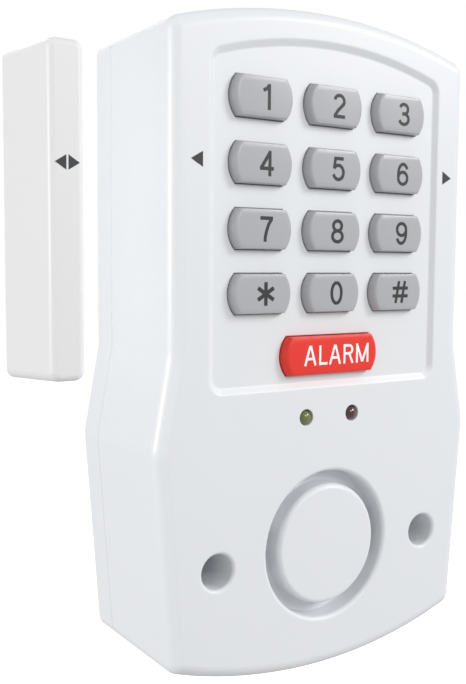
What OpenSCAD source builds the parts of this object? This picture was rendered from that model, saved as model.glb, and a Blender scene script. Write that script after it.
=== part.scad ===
// Battery alarm keypad for a door or window, with its separate magnet piece.
// Millimetres, +Z up, +X to the right seen from the front, the wall plane at y = 0 and the front at -Y.
// The origin is midway between the two wall-screw holes, in the wall plane.

/* [Alarm unit] */
// Width of the housing above the hips
body_w = 72; // [70:1:76]
// Width at the hips, the widest place
hip_w = 78.4; // [76:0.2:84]
// Depth from the wall plane to the front face
body_d = 30.5; // [30:0.5:36]
// Depth of the back cover, which ends at the seam in the side
cover_d = 6.5; // [6:0.1:7]
// Wall thickness of the plastic shells
wall = 2.2; // [2:0.1:2.4]
// Radius that rounds the front edge
edge_r = 2.8; // [2:0.1:3]

/* [Keypad] */
// Distance between two keys side by side
key_pitch_x = 17; // [16.5:0.1:17.2]
// Distance between two rows of keys
key_pitch_z = 12; // [11:0.1:12.2]
// Width of a number key at its bulging ends
key_w = 13.7; // [12:0.1:14]
// Width of the red key
panic_w = 23.7; // [20:0.1:24]
// Height of every key
key_h = 7.5; // [6.5:0.1:7.8]
// Travel of a key
key_travel = 1; // [0.5:0.1:1]

/* [Siren and screws] */
// Radius of the round well in the front
well_r = 14.9; // [14:0.1:15]
// Radius of the cap that stands in the well
cap_r = 12.2; // [11:0.1:12.4]
// Distance between the two wall-screw holes
wall_screw_span = 52.2; // [50:0.2:53]
// Radius of the deep holes that take the wall screws' heads
access_r = 3.4; // [3:0.1:3.6]
// Radius of the wall-screw holes in the back
wall_screw_r = 2.2; // [1.8:0.1:2.4]

/* [Magnet piece] */
// Width of the magnet piece
magnet_w = 6.6; // [6.4:0.1:12]
// Depth of the magnet piece from the wall plane
magnet_d = 22.4; // [18:0.1:24]
// Length of the magnet piece
magnet_l = 61.6; // [60:0.2:68]
// How much each end of the magnet piece slopes inwards from its back to its front
magnet_draft = 1.4; // [0:0.1:2]
// Gap between the magnet piece and the housing's straight side
magnet_gap = 12.7; // [5:0.1:20]

/* [Hidden] */
$fn = 64;
fit = 0.25;              // gap round a key in its opening
skin = 0.1;              // gap between parts that only lie side by side

// heights over the origin
top_z = 105.4;
bottom_z = -24.1;
flare_z = 40.7;          // where the sides start to spread
hip_z = 23.2;
row_z = 87.7;            // top row of keys
panic_z = row_z - 48.1;
led_z = row_z - 60.3;
siren_z = 1.2;
mark_z = row_z - key_pitch_z;
magnet_top_z = 96.7;

// outline of the housing
half_w = body_w / 2;
hip_half_w = hip_w / 2;
top_arc_r = 122;
bottom_arc_r = 106;
corner_r = 3;
hip_r = 9;
flare_r = 12;

// keypad recess
panel_half_w = 28.3;
panel_top_z = row_z + 12;
panel_bottom_z = row_z - 54.6;
panel_arc_r = 90;
panel_corner_r = 3;
recess_d = 0.8;
bevel = 1.2;

// planes along Y, from the front to the wall
front_y = -body_d;
recess_y = front_y + recess_d;
inside_y = front_y + wall;          // inner face of the front wall
key_front_y = recess_y - 1.7;
flange_y = inside_y + skin;         // front of a key's flange
flange_t = 0.8;
board_y = -23.6;                    // front of the circuit board
mat_y = board_y - 1;
dome_y = mat_y - key_travel - 0.7;
plunger_y = dome_y - 0.05;          // back end of a key's plunger
board_t = 1.6;
seam_y = -cover_d;
bay_y = -16.6;                      // front inner face of the battery bay

// key shape
end_r = 5.55;                       // radius of a key's bulging ends
key_round = 1.2;
flange_grow = 0.7;
plunger_r = 2.5;
key_x = [-key_pitch_x, 0, key_pitch_x];

// screws
screw_r = 1.25;
pilot_r = 1.3;
boss_r = 3;
case_screw_at = [[29, 96.4], [30, -11.3]];
board_screw_at = [[29.3, 86.6], [29.3, 25.2]];
siren_screw_at = [[16.9, 10.95], [-16.9, 10.95], [0, -18.3]];
tube_r = 5;
led_x = 5.8;
led_r = 1.5;

// siren
well_floor_y = -26;
cap_flange_t = 1.2;
siren_r = 16.8;
chamber_back_y = -13;
piezo_y = -21;
slot_in_r = 12.8;
slot_out_r = 14.5;
slot_half_angle = 20;

// batteries
cell_r = 7.1;
cell_l = 50.5;
nub_l = 1.3;
cell_pitch = 14.8;
cell_y = -9.2;
spring_l = 4;
contact_t = 0.4;
bay_half_w = 30;
bay_low_z = 36.2;
bay_high_z = bay_low_z + cell_l + spring_l + 2 * contact_t;
bay_wall = 1.2;
plate_t = 2.2;                      // thickness of the cover's back plate
door_t = 1.8;
door_fit = 0.3;

// ---- helpers ----

// Draws a flat shape in the XZ plane and thickens it between two planes along Y.
module slab(y_front, y_back) {
    translate([0, y_back, 0]) rotate([90, 0, 0]) linear_extrude(y_back - y_front) children();
}

// A round bar along Y.
module rod(r, y_front, y_back, at = [0, 0], r_back = undef) {
    translate([at[0], y_front, at[1]]) rotate([-90, 0, 0])
        cylinder(r1 = r, r2 = is_undef(r_back) ? r : r_back, h = y_back - y_front);
}

// A box given by its lowest and highest corner.
module span_box(low, high) {
    translate(low) cube(high - low);
}

// Draws its child on both sides of the X = 0 plane.
module both_sides() {
    children();
    mirror([1, 0, 0]) children();
}

function unit(v) = v / norm(v);

// Rounds the vertices of a polygon; a radius of 0 leaves a vertex as it is.
function rounded(points, radii, steps = 5) =
    let (n = len(points))
    [for (i = [0:n - 1])
        let (p = points[i], u = unit(points[(i + n - 1) % n] - p), v = unit(points[(i + 1) % n] - p),
             half = acos(u * v) / 2, r = radii[i])
        each r == 0 ? [p] : let (c = p + unit(u + v) * r / sin(half), a = unit(p + u * r / tan(half) - c),
                                 b = unit(p + v * r / tan(half) - c))
            [for (k = [0:steps]) c + r * unit(a * (steps - k) + b * k)]];

// Adds the mirror image of a right-hand half that runs from the top centre to the bottom centre.
function mirrored(half) = concat(half, [for (i = [len(half) - 2:-1:1]) [-half[i][0], half[i][1]]]);

// Half of an arched top or bottom edge, from the centre line out to x_end.
function arch(centre_z, r, x_end, sign, steps = 8) =
    [for (i = [0:steps]) let (x = x_end * i / steps) [x, centre_z + sign * sqrt(r * r - x * x)]];

function reversed(list) = [for (i = [len(list) - 1:-1:0]) list[i]];

// Outline of the housing, moved inwards by an inset.
function outline(inset = 0) =
    let (x = half_w - inset,
         top = arch(top_z - top_arc_r, top_arc_r - inset, x, 1),
         low = arch(bottom_z + bottom_arc_r, bottom_arc_r - inset, x, -1),
         right = concat(top, [[x, flare_z], [hip_half_w - inset, hip_z]], reversed(low)),
         r = max(corner_r - inset, 0.5),
         radii = [for (i = [0:len(right) - 1])
             i == len(top) - 1 || i == len(top) + 2 ? r : i == len(top) ? flare_r + inset
             : i == len(top) + 1 ? hip_r - inset : 0],
         all = mirrored(right),
         all_radii = concat(radii, [for (i = [len(radii) - 2:-1:1]) radii[i]]))
    rounded(all, all_radii);

// Outline of the keypad recess, moved inwards by an inset.
function panel(inset = 0) =
    let (x = panel_half_w - inset, top = arch(panel_top_z - panel_arc_r, panel_arc_r - inset, x, 1),
         right = concat(top, [[x, panel_bottom_z + inset], [0, panel_bottom_z + inset]]),
         radii = [for (i = [0:len(right) - 1])
             i == len(top) - 1 || i == len(top) ? panel_corner_r - inset : 0])
    rounded(mirrored(right), concat(radii, [for (i = [len(radii) - 2:-1:1]) radii[i]]));

// A closed solid through outlines with equal numbers of points, each given as [y, outline], front first.
module loft(rings) {
    n = len(rings[0][1]);
    last = (len(rings) - 1) * n;
    points = [for (ring = rings, p = ring[1]) [p[0], ring[0], p[1]]];
    sides = [for (k = [0:len(rings) - 2], i = [0:n - 1])
        let (a = k * n + i, b = k * n + (i + 1) % n) [b, a, a + n, b + n]];
    polyhedron(points, concat([[for (i = [0:n - 1]) i]], sides, [[for (i = [n - 1:-1:0]) last + i]]));
}

// The housing's outer form in front of the seam, with its front edge rounded.
module rounded_front(steps = 4) {
    loft(concat([for (k = [0:steps]) let (a = 90 * k / steps)
                     [front_y + edge_r * (1 - cos(a)), outline(edge_r * (1 - sin(a)))]],
                [[seam_y, outline()]]));
}

// A key seen from the front: straight top and bottom, bulging ends.
module key_shape(w, grow = 0) {
    reach = w / 2 - end_r;
    intersection() {
        union() {
            for (x = [-reach, reach]) translate([x, 0]) circle(end_r + grow);
            square([2 * reach, 2 * end_r], center = true);
        }
        square([w + 4, key_h + 2 * grow], center = true);
    }
}

// A thin wire with round bends, through a list of points.
module wire(points, r) {
    for (i = [0:len(points) - 2]) {
        step = points[i + 1] - points[i];
        translate(points[i])
            rotate([0, acos(step[2] / norm(step)), atan2(step[1], step[0])]) cylinder(r = r, h = norm(step), $fn = 16);
        if (i > 0) translate(points[i]) sphere(r = 1.05 * r, $fn = 16);
    }
}

// A pan-head screw whose head is at the back and whose tip points to the front.
module pan_screw(at, head_y, length, head_r = 2.5, head_t = 1.6) {
    difference() {
        union() {
            rod(head_r, head_y, head_y + head_t, at);
            rod(screw_r, head_y - length, head_y, at);
        }
        for (turn = [0, 90]) translate([at[0], head_y + head_t, at[1]]) rotate([0, turn, 0])
            cube([head_r * 1.3, 1.6, 0.5], center = true);
    }
}

// ---- shells ----

module front_housing() {
    color("white") difference() {
        union() {
            difference() {
                rounded_front();
                slab(inside_y, seam_y + 1) polygon(outline(wall));
            }
            both_sides() {
                for (at = case_screw_at) slab(inside_y - 0.5, seam_y - skin) intersection() {
                    translate(at) circle(boss_r);
                    polygon(outline(wall / 2));
                }
                for (at = board_screw_at) rod(2.6, inside_y - 0.5, board_y, at);
                rod(tube_r, inside_y - 0.5, seam_y - skin, [wall_screw_span / 2, 0]);
            }
            for (at = siren_screw_at) rod(2.6, inside_y - 0.5, well_floor_y + cap_flange_t, at);
            rod(well_r + 2.4, inside_y - 0.5, well_floor_y, [0, siren_z]);
        }
        loft([[front_y - 0.1, panel(-0.15)], [recess_y, panel(bevel)]]);
        for (x = key_x, row = [0:3]) slab(front_y - 1, inside_y + 1)
            translate([x, row_z - row * key_pitch_z]) key_shape(key_w, fit);
        slab(front_y - 1, inside_y + 1) translate([0, panic_z]) key_shape(panic_w, fit);
        rod(well_r, front_y - 1, well_floor_y + 1, [0, siren_z]);
        both_sides() {
            rod(access_r, front_y - 1, seam_y + 1, [wall_screw_span / 2, 0]);
            rod(led_r + skin, front_y - 1, inside_y + 1, [led_x, led_z]);
            for (at = case_screw_at) rod(pilot_r, seam_y - 13, seam_y, at);
            for (at = board_screw_at) rod(pilot_r, board_y - 4, board_y + 1, at);
        }
        for (at = siren_screw_at) rod(pilot_r, well_floor_y - 2, well_floor_y + cap_flange_t + 1, at);
    }
}

module back_cover() {
    bay_outer = bay_half_w + bay_wall;
    color("white") difference() {
        union() {
            difference() {
                slab(seam_y, 0) polygon(outline());
                slab(seam_y - 1, -plate_t) polygon(outline(wall));
            }
            difference() {
                slab(seam_y - 1.8, -plate_t) polygon(outline(wall + 0.15));
                slab(seam_y - 2, -plate_t) polygon(outline(wall + 1.3));
                both_sides() for (at = case_screw_at) rod(boss_r + 0.4, seam_y - 3, seam_y, at);
            }
            span_box([-bay_outer, bay_y - bay_wall, bay_low_z - bay_wall],
                     [bay_outer, -plate_t + 0.1, bay_high_z + bay_wall]);
            both_sides() {
                for (at = case_screw_at) slab(seam_y, -plate_t + 0.1) intersection() {
                    translate(at) circle(boss_r + 1);
                    polygon(outline(wall / 2));
                }
                rod(tube_r, seam_y, -plate_t + 0.1, [wall_screw_span / 2, 0]);
            }
        }
        span_box([-bay_half_w, bay_y, bay_low_z], [bay_half_w, -door_t - 1.1, bay_high_z]);
        span_box([-bay_half_w + 1.8, -door_t - 1.2, bay_low_z], [bay_half_w - 1.8, -door_t + 0.1, bay_high_z]);
        span_box([-bay_half_w, -door_t, bay_low_z], [bay_half_w, 1, bay_high_z]);
        both_sides() {
            rod(wall_screw_r, seam_y - 1, 1, [wall_screw_span / 2, 0]);
            for (at = case_screw_at) {
                rod(screw_r + 0.2, seam_y - 1, 1, at);
                rod(boss_r, -3, 1, at);
            }
        }
        for (x = [-1.5, 1.5] * cell_pitch)
            translate([x, cell_y - 3, bay_low_z - 2]) cylinder(r = 0.8, h = 4);
    }
}

module battery_door() {
    low_z = bay_low_z + door_fit;
    high_z = bay_high_z - door_fit;
    color("white") difference() {
        span_box([-bay_half_w + door_fit, -door_t, low_z], [bay_half_w - door_fit, 0, high_z]);
        for (n = [0:2]) span_box([-7, -0.6, high_z - 6 - 2 * n], [7, 1, high_z - 5 - 2 * n]);
    }
}

// ---- keypad ----

module key_cap(at, w, tint) {
    color(tint) translate([at[0], 0, at[1]]) {
        intersection() {
            slab(key_front_y, flange_y + 0.1) key_shape(w);
            translate([0, 0, -key_h]) linear_extrude(2 * key_h) {
                translate([-w / 2, key_front_y + key_round]) square([w, 8]);
                translate([-w / 2 + key_round, key_front_y]) square([w - 2 * key_round, 8]);
                for (x = [-1, 1] * (w / 2 - key_round)) translate([x, key_front_y + key_round]) circle(key_round);
            }
        }
        slab(flange_y, flange_y + flange_t) key_shape(w, flange_grow);
        rod(plunger_r, flange_y + flange_t - 0.1, plunger_y);
    }
}

module number_key(column, row) {
    key_cap([key_x[column], row_z - row * key_pitch_z], key_w, "darkgray");
}

// Centres of all thirteen domes.
dome_at = concat([for (x = key_x, row = [0:3]) [x, row_z - row * key_pitch_z]], [[0, panic_z]]);

module dome_mat() {
    color("gainsboro") difference() {
        union() {
            slab(mat_y, board_y) translate([-24, panic_z - 5.4]) square([48, row_z - panic_z + 10.2]);
            for (at = dome_at) rod(2.7, dome_y, mat_y + 0.1, at, 4.2);
        }
        for (at = dome_at) rod(2.1, dome_y + 0.5, board_y + 0.1, at, 4);
    }
}

module contact_pills() {
    color("black") for (at = dome_at) rod(1.7, dome_y + 0.5, dome_y + 0.9, at);
}

// ---- electronics ----

module circuit_board() {
    color("seagreen") difference() {
        slab(board_y, board_y + board_t) translate([-32.5, 20.7]) square([65, 71.5]);
        both_sides() for (at = board_screw_at) rod(screw_r + 0.3, board_y - 1, board_y + board_t + 1, at);
    }
}

module microcontroller() {
    back_y = board_y + board_t;
    color("dimgray") span_box([-5, back_y + 0.3, 59], [5, back_y + 2.3, 66.5]);
    color("silver") for (n = [0:6], side = [-1, 1])
        translate([-3.9 + n * 1.3, back_y + 0.15, 62.75 + side * 4.5]) cube([0.4, 0.3, 1.6], center = true);
}

module board_parts() {
    back_y = board_y + board_t;
    color("tan") for (n = [0:5]) span_box([-22 + n * 4, back_y, 46], [-20 + n * 4, back_y + 0.6, 47.2]);
    color("tan") for (n = [0:3]) span_box([12 + n * 4, back_y, 70], [14 + n * 4, back_y + 0.8, 71.2]);
    color("silver") span_box([-21, back_y, 60], [-12, back_y + 3, 64]);
    color("navy") rod(3, back_y, back_y + 7, [-14, 28]);
    color("black") rod(2.3, back_y, back_y + 4, [1, 28]);
}

module step_up_coil() {
    back_y = board_y + board_t;
    color("peru") rod(3.4, back_y + 1, back_y + 7, [14, 28]);
    color("dimgray") rod(4.5, back_y, back_y + 1, [14, 28]);
    color("dimgray") rod(4.5, back_y + 7, back_y + 8, [14, 28]);
}

module reed_switch(side) {
    x = side * 29.8;
    y = board_y + board_t + 1.3;
    color("lightcyan") translate([x, y, mark_z - 7]) cylinder(r = 1.1, h = 14);
    color("silver") for (end = [-1, 1])
        wire([[x, y, mark_z + end * 6.9], [x, y, mark_z + end * 8], [x, board_y + board_t, mark_z + end * 8]], 0.3);
}

module led(x, tint) {
    tip_y = front_y - 0.4;
    base_y = board_y - 2;
    color(tint) translate([x, 0, led_z]) {
        translate([0, tip_y + led_r, 0]) sphere(r = led_r);
        rod(led_r, tip_y + led_r, base_y);
        rod(1.9, base_y - 1, base_y);
    }
    color("silver") for (dx = [-1.27, 1.27] / 2)
        span_box([x + dx - 0.25, base_y, led_z - 0.25], [x + dx + 0.25, board_y, led_z + 0.25]);
}

// ---- siren ----

module siren_cap() {
    color("white") difference() {
        union() {
            rod(cap_r, front_y, well_floor_y + 0.1, [0, siren_z]);
            rod(siren_r, well_floor_y, well_floor_y + cap_flange_t, [0, siren_z]);
        }
        rod(cap_r - 1.6, front_y + 1.6, well_floor_y + cap_flange_t + 1, [0, siren_z]);
        slab(well_floor_y - 1, well_floor_y + cap_flange_t + 1) translate([0, siren_z]) both_ends_slot();
    }
}

// Two arc-shaped sound slots, one on each side of the cap.
module both_ends_slot() {
    for (side = [-1, 1]) polygon(concat(
        [for (a = [-slot_half_angle:4:slot_half_angle]) slot_out_r * [side * cos(a), sin(a)]],
        [for (a = [slot_half_angle:-4:-slot_half_angle]) slot_in_r * [side * cos(a), sin(a)]]));
}

module siren_chamber() {
    mouth_y = well_floor_y + cap_flange_t;
    color("gainsboro") difference() {
        union() {
            rod(siren_r, mouth_y, chamber_back_y, [0, siren_z]);
            for (at = siren_screw_at) {
                rod(2.8, mouth_y, mouth_y + 2, at);
                slab(mouth_y, mouth_y + 2) translate([0, siren_z]) rotate(atan2(at[1] - siren_z, at[0]))
                    translate([siren_r - 2, -2]) square([norm(at - [0, siren_z]) - siren_r + 2, 4]);
            }
        }
        rod(14, mouth_y - 1, piezo_y + 0.3, [0, siren_z]);
        rod(12.6, piezo_y, chamber_back_y - 1.2, [0, siren_z]);
        span_box([-3.5, -19.5, siren_z + 10], [3.5, -17, siren_z + 20]);
        for (at = siren_screw_at) rod(screw_r + 0.2, mouth_y - 1, mouth_y + 3, at);
    }
}

module piezo_disc() {
    color("goldenrod") rod(13.5, piezo_y, piezo_y + 0.3, [0, siren_z]);
}

module piezo_ceramic() {
    color("ivory") rod(10, piezo_y + 0.3, piezo_y + 0.55, [0, siren_z]);
}

module siren_leads() {
    start_y = piezo_y + 0.55;
    for (side = [-1, 1]) color(side < 0 ? "red" : "black")
        wire([[side * 1.5, start_y, siren_z + 7], [side * 1.5, -19.3, siren_z + 7],
            [side * 1.5, -18.3, siren_z + 8.5], [side * 1.5, -18.3, siren_z + 18.6],
            [side * 1.5, -20, 23.6], [side * 1.5, board_y + board_t, 23.6]], 0.5);
}

// ---- batteries ----

module battery_cell(n) {
    x = (n - 1.5) * cell_pitch;
    up = n % 2 == 0;
    color("darkslategray") translate([x, cell_y, up ? bay_high_z - contact_t : bay_low_z + contact_t])
        scale([1, 1, up ? -1 : 1]) {
            cylinder(r = 2.7, h = nub_l + 0.1);
            translate([0, 0, nub_l]) cylinder(r = cell_r, h = cell_l - nub_l);
        }
}

// Ring of points round a coil spring's wire, at a place along it from 0 to 1.
function spring_ring(t, turns, r_low, r_high, wire_r, height) =
    let (a = 360 * turns * t, r = r_low + (r_high - r_low) * t, z = wire_r + (height - 2 * wire_r) * t)
    [for (k = [0:5]) let (b = 60 * k, d = r + wire_r * cos(b)) [d * cos(a), d * sin(a), z + wire_r * sin(b)]];

module coil_spring(height, turns = 3.5, r_low = 4.4, r_high = 2.8, wire_r = 0.35) {
    rings = 42;
    points = [for (i = [0:rings]) each spring_ring(i / rings, turns, r_low, r_high, wire_r, height)];
    sides = [for (i = [0:rings - 1], k = [0:5]) let (a = i * 6 + k, b = i * 6 + (k + 1) % 6) [a, b, b + 6, a + 6]];
    polyhedron(points, concat([[5, 4, 3, 2, 1, 0]], sides, [[for (k = [0:5]) rings * 6 + k]]), convexity = 6);
}

module contact_springs() {
    gap = 0.02;
    color("silver") for (n = [0:3]) translate([(n - 1.5) * cell_pitch, cell_y, 0])
        if (n % 2 == 0) translate([0, 0, bay_low_z + contact_t + gap]) coil_spring(spring_l - 2 * gap);
        else translate([0, 0, bay_high_z - contact_t - gap]) scale([1, 1, -1]) coil_spring(spring_l - 2 * gap);
}

// Spring contacts and flat contacts, joined in pairs so that the cells are in series.
module contact_plates() {
    plate_y = [cell_y - 5.5, cell_y + 5.5];
    color("silver") {
        for (pair = [[0, 1], [2, 3]])
            span_box([(pair[0] - 1.5) * cell_pitch - 5.5, plate_y[0], bay_high_z - contact_t],
                     [(pair[1] - 1.5) * cell_pitch + 5.5, plate_y[1], bay_high_z]);
        for (pair = [[0, 0], [1, 2], [3, 3]])
            span_box([(pair[0] - 1.5) * cell_pitch - 5.5, plate_y[0], bay_low_z],
                     [(pair[1] - 1.5) * cell_pitch + 5.5, plate_y[1], bay_low_z + contact_t]);
    }
}

module battery_leads() {
    y = cell_y - 3;
    x = 1.5 * cell_pitch;
    for (side = [-1, 1]) color(side < 0 ? "red" : "black")
        wire([[side * x, y, bay_low_z], [side * x, y, bay_low_z - 3], [side * x, y - 1.5, bay_low_z - 4.5],
            [side * x, -20, bay_low_z - 4.5], [side * x, board_y + board_t, bay_low_z - 4.5]], 0.6);
}

// ---- fasteners ----

module case_screws() {
    color("silver") both_sides() for (at = case_screw_at) pan_screw(at, -3, 15);
}

module board_screws() {
    color("silver") both_sides() for (at = board_screw_at) pan_screw(at, board_y + board_t, 5, 2.2, 1.4);
}

module siren_screws() {
    color("silver") for (at = siren_screw_at) pan_screw(at, well_floor_y + cap_flange_t + 2, 4.5, 2.2, 1.4);
}

// ---- magnet piece ----

magnet_x = -half_w - magnet_gap - magnet_w / 2;
magnet_low_z = magnet_top_z - magnet_l;
magnet_wall = 1.3;
magnet_round = 1.2;
magnet_in_l = magnet_l - 2 * (magnet_wall + magnet_draft);
base_t = 1.6;

// A box with rounded front and side edges, from the wall plane to its front, with sloping ends.
module rounded_block(w, d, l, r, draft) {
    front_l = l - 2 * draft;
    hull() {
        slab(-0.01, 0) offset(r) square([w - 2 * r, l - 2 * r], center = true);
        for (a = [0:30:90]) slab(-d + r * (1 - cos(a)), -d + r * (1 - cos(a)) + 0.01)
            offset(r * sin(a) + 0.01, $fn = 24) square([w - 2 * r, front_l - 2 * r], center = true);
    }
}

module magnet_case() {
    color("white") translate([magnet_x, 0, magnet_low_z + magnet_l / 2]) difference() {
        rounded_block(magnet_w, magnet_d, magnet_l, magnet_round, magnet_draft);
        slab(-magnet_d + magnet_wall, 1) square([magnet_w - 2 * magnet_wall, magnet_in_l], center = true);
    }
}

module magnet_base() {
    w = magnet_w - 2 * magnet_wall - 2 * skin;
    l = magnet_in_l - 2 * skin;
    color("white") translate([magnet_x, 0, magnet_low_z + magnet_l / 2]) difference() {
        slab(-base_t - 1.4, 0) square([w, l], center = true);
        slab(-0.8, 1) square([w - 1.2, l - 4], center = true);
    }
}

module magnet_pad() {
    w = magnet_w - 2 * magnet_wall - 2 * skin - 1.2;
    color("lightgray") translate([magnet_x, 0, magnet_low_z + magnet_l / 2])
        slab(-0.8, 0) square([w - 0.1, magnet_in_l - 4.4], center = true);
}

module bar_magnet() {
    w = magnet_w - 2 * magnet_wall - 0.4;
    color("dimgray") translate([magnet_x, 0, mark_z]) slab(-base_t - 1.4 - 12, -base_t - 1.4)
        square([w, 34], center = true);
}

front_housing();
back_cover();
battery_door();
number_key(0, 0);  // key_1
number_key(1, 0);  // key_2
number_key(2, 0);  // key_3
number_key(0, 1);  // key_4
number_key(1, 1);  // key_5
number_key(2, 1);  // key_6
number_key(0, 2);  // key_7
number_key(1, 2);  // key_8
number_key(2, 2);  // key_9
number_key(0, 3);  // key_star
number_key(1, 3);  // key_0
number_key(2, 3);  // key_hash
key_cap([0, panic_z], panic_w, "red");  // panic_key
dome_mat();
contact_pills();
circuit_board();
microcontroller();
board_parts();
step_up_coil();
reed_switch(-1);  // reed_switch_left
reed_switch(1);  // reed_switch_right
led(-led_x, "green");  // led_green
led(led_x, "firebrick");  // led_red
siren_cap();
siren_chamber();
piezo_disc();
piezo_ceramic();
siren_leads();
battery_cell(0);  // battery_cell_1
battery_cell(1);  // battery_cell_2
battery_cell(2);  // battery_cell_3
battery_cell(3);  // battery_cell_4
contact_springs();
contact_plates();
battery_leads();
case_screws();
board_screws();
siren_screws();
magnet_case();
magnet_base();
bar_magnet();
magnet_pad();
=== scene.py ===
import math
import bmesh
import bpy
from mathutils import Matrix, Vector
from mathutils.geometry import delaunay_2d_cdt


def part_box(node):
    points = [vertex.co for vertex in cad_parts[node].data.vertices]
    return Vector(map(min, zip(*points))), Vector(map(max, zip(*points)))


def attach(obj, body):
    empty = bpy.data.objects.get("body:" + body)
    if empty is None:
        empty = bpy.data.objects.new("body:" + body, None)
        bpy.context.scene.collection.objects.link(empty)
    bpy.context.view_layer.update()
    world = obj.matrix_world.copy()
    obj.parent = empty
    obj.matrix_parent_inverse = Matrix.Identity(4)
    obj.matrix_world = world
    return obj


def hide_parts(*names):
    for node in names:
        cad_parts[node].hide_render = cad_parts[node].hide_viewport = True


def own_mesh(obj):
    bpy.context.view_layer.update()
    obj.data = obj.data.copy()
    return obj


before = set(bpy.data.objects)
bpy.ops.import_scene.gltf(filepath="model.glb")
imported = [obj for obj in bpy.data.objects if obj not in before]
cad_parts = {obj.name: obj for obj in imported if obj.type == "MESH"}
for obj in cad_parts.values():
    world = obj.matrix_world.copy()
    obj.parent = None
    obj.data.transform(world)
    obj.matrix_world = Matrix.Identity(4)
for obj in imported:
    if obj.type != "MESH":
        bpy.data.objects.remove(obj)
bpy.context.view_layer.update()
mm = 0.001  # the dictionaries below are in millimetres, the meshes in metres
scene = bpy.context.scene


def cadBox(node):
    low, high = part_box(node)
    return low / mm, high / mm


housingLow, housingHigh = cadBox("front_housing")
capLow, capHigh = cadBox("siren_cap")
boardLow, boardHigh = cadBox("circuit_board")
frontY = housingLow.y
seamY = -6.5
wallY = 0.0
unit = "alarm_unit"


# wraps one output socket, so that arithmetic on it adds Math nodes
class Value:
    def __init__(self, tree, socket):
        self.tree = tree
        self.socket = socket

    def math(self, operation, *others):
        return add(self.tree, "ShaderNodeMath", {"operation": operation}, dict(enumerate((self,) + others)))

    def __add__(self, other):
        return self.math("ADD", other)

    def __radd__(self, other):
        return self.math("ADD", other)

    def __sub__(self, other):
        return self.math("SUBTRACT", other)

    def __rsub__(self, other):
        return add(self.tree, "ShaderNodeMath", {"operation": "SUBTRACT"}, {0: other, 1: self})

    def __mul__(self, other):
        return self.math("MULTIPLY", other)

    def __rmul__(self, other):
        return self.math("MULTIPLY", other)

    def __truediv__(self, other):
        return self.math("DIVIDE", other)


# a node with its settings, then the values or links of its sockets
def add(tree, kind, settings=None, inputs=None, output=0):
    node = tree.nodes.new(kind)
    for name, value in (settings or {}).items():
        setattr(node, name, value)
    for key, value in (inputs or {}).items():
        # a list links several values to one socket
        for item in value if isinstance(value, list) else [value]:
            if isinstance(item, Value):
                tree.links.new(item.socket, node.inputs[key])
            else:
                node.inputs[key].default_value = item
    return Value(tree, node.outputs[output])


view = {
    "place": (-116.5, -171.5, 57.2),
    "turn": 33.5,
    "tilt": -4.82,
    "roll": 0.394,
    "lens": 48.63,
    "sensor": 36,
    "clipStart": 0.01,
}


def makeCamera():
    turn, tilt, roll = (math.radians(view[k]) for k in ("turn", "tilt", "roll"))
    forward = Vector((math.sin(turn) * math.cos(tilt), math.cos(turn) * math.cos(tilt), math.sin(tilt)))
    level = Vector((math.cos(turn), -math.sin(turn), 0))
    upright = level.cross(forward)
    right = level * math.cos(roll) + upright * math.sin(roll)
    up = upright * math.cos(roll) - level * math.sin(roll)
    data = bpy.data.cameras.new("camera")
    data.lens = view["lens"]
    data.sensor_width = view["sensor"]
    data.clip_start = view["clipStart"]
    camera = bpy.data.objects.new("camera", data)
    scene.collection.objects.link(camera)
    camera.matrix_world = Matrix.Translation(Vector(view["place"]) * mm) @ Matrix(
        (right, up, -forward)).transposed().to_4x4()
    scene.camera = camera


studio = {
    "skyLight": 0.56,     # how strongly the white surroundings light the unit
    "floorDrop": 160,     # the unit hangs on a wall, so the floor lies well below it
    "floorSize": 6000,
    "floorGlow": 0.6,
    "floorTone": (0.93, 0.93, 0.93, 1),
    "floorRoughness": 0.9,
    "aim": (0, -15, 40),
    "lamps": {
        # place in millimetres, size, watts
        "key_lamp": ((560, -520, 440), 300, 3.0),
        "front_lamp": ((90, -770, 380), 220, 1.5),
        "side_lamp": ((-700, 20, 120), 120, 2.2),
        "back_lamp": ((150, 800, 300), 500, 2.0),
    },
}


def makeStudio():
    world = bpy.data.worlds.new("sky")
    world.use_nodes = True
    tree = world.node_tree
    sky = tree.nodes["Background"]
    sky.inputs["Color"].default_value = (1, 1, 1, 1)
    seen = add(tree, "ShaderNodeLightPath", output="Is Camera Ray")
    feed(tree, sky, "Strength", seen * (1 - studio["skyLight"]) + studio["skyLight"])
    scene.world = world
    aim = Vector(studio["aim"]) * mm
    for name, (where, size, watts) in studio["lamps"].items():
        data = bpy.data.lights.new(name, "AREA")
        data.shape = "DISK"
        data.size = size * mm
        data.energy = watts
        lamp = bpy.data.objects.new(name, data)
        scene.collection.objects.link(lamp)
        lamp.location = Vector(where) * mm
        lamp.rotation_euler = (aim - lamp.location).to_track_quat("-Z", "Y").to_euler()
    half = studio["floorSize"] / 2 * mm
    level = (housingLow.z - studio["floorDrop"]) * mm
    mesh = bpy.data.meshes.new("floor")
    mesh.from_pydata([(-half, -half, level), (half, -half, level), (half, half, level), (-half, half, level)],
                     [], [(0, 1, 2, 3)])
    floor = bpy.data.objects.new("floor", mesh)
    floor.visible_diffuse = False  # it shows white but sends no light up
    floor.visible_glossy = False
    scene.collection.objects.link(floor)
    mat = bpy.data.materials.new("pale_floor")
    mat.use_nodes = True
    shader = mat.node_tree.nodes["Principled BSDF"]
    shader.inputs["Base Color"].default_value = studio["floorTone"]
    shader.inputs["Roughness"].default_value = studio["floorRoughness"]
    shader.inputs["Emission Color"].default_value = (1, 1, 1, 1)
    shader.inputs["Emission Strength"].default_value = studio["floorGlow"]
    mesh.materials.append(mat)
    scene.view_settings.view_transform = "Standard"


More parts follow.
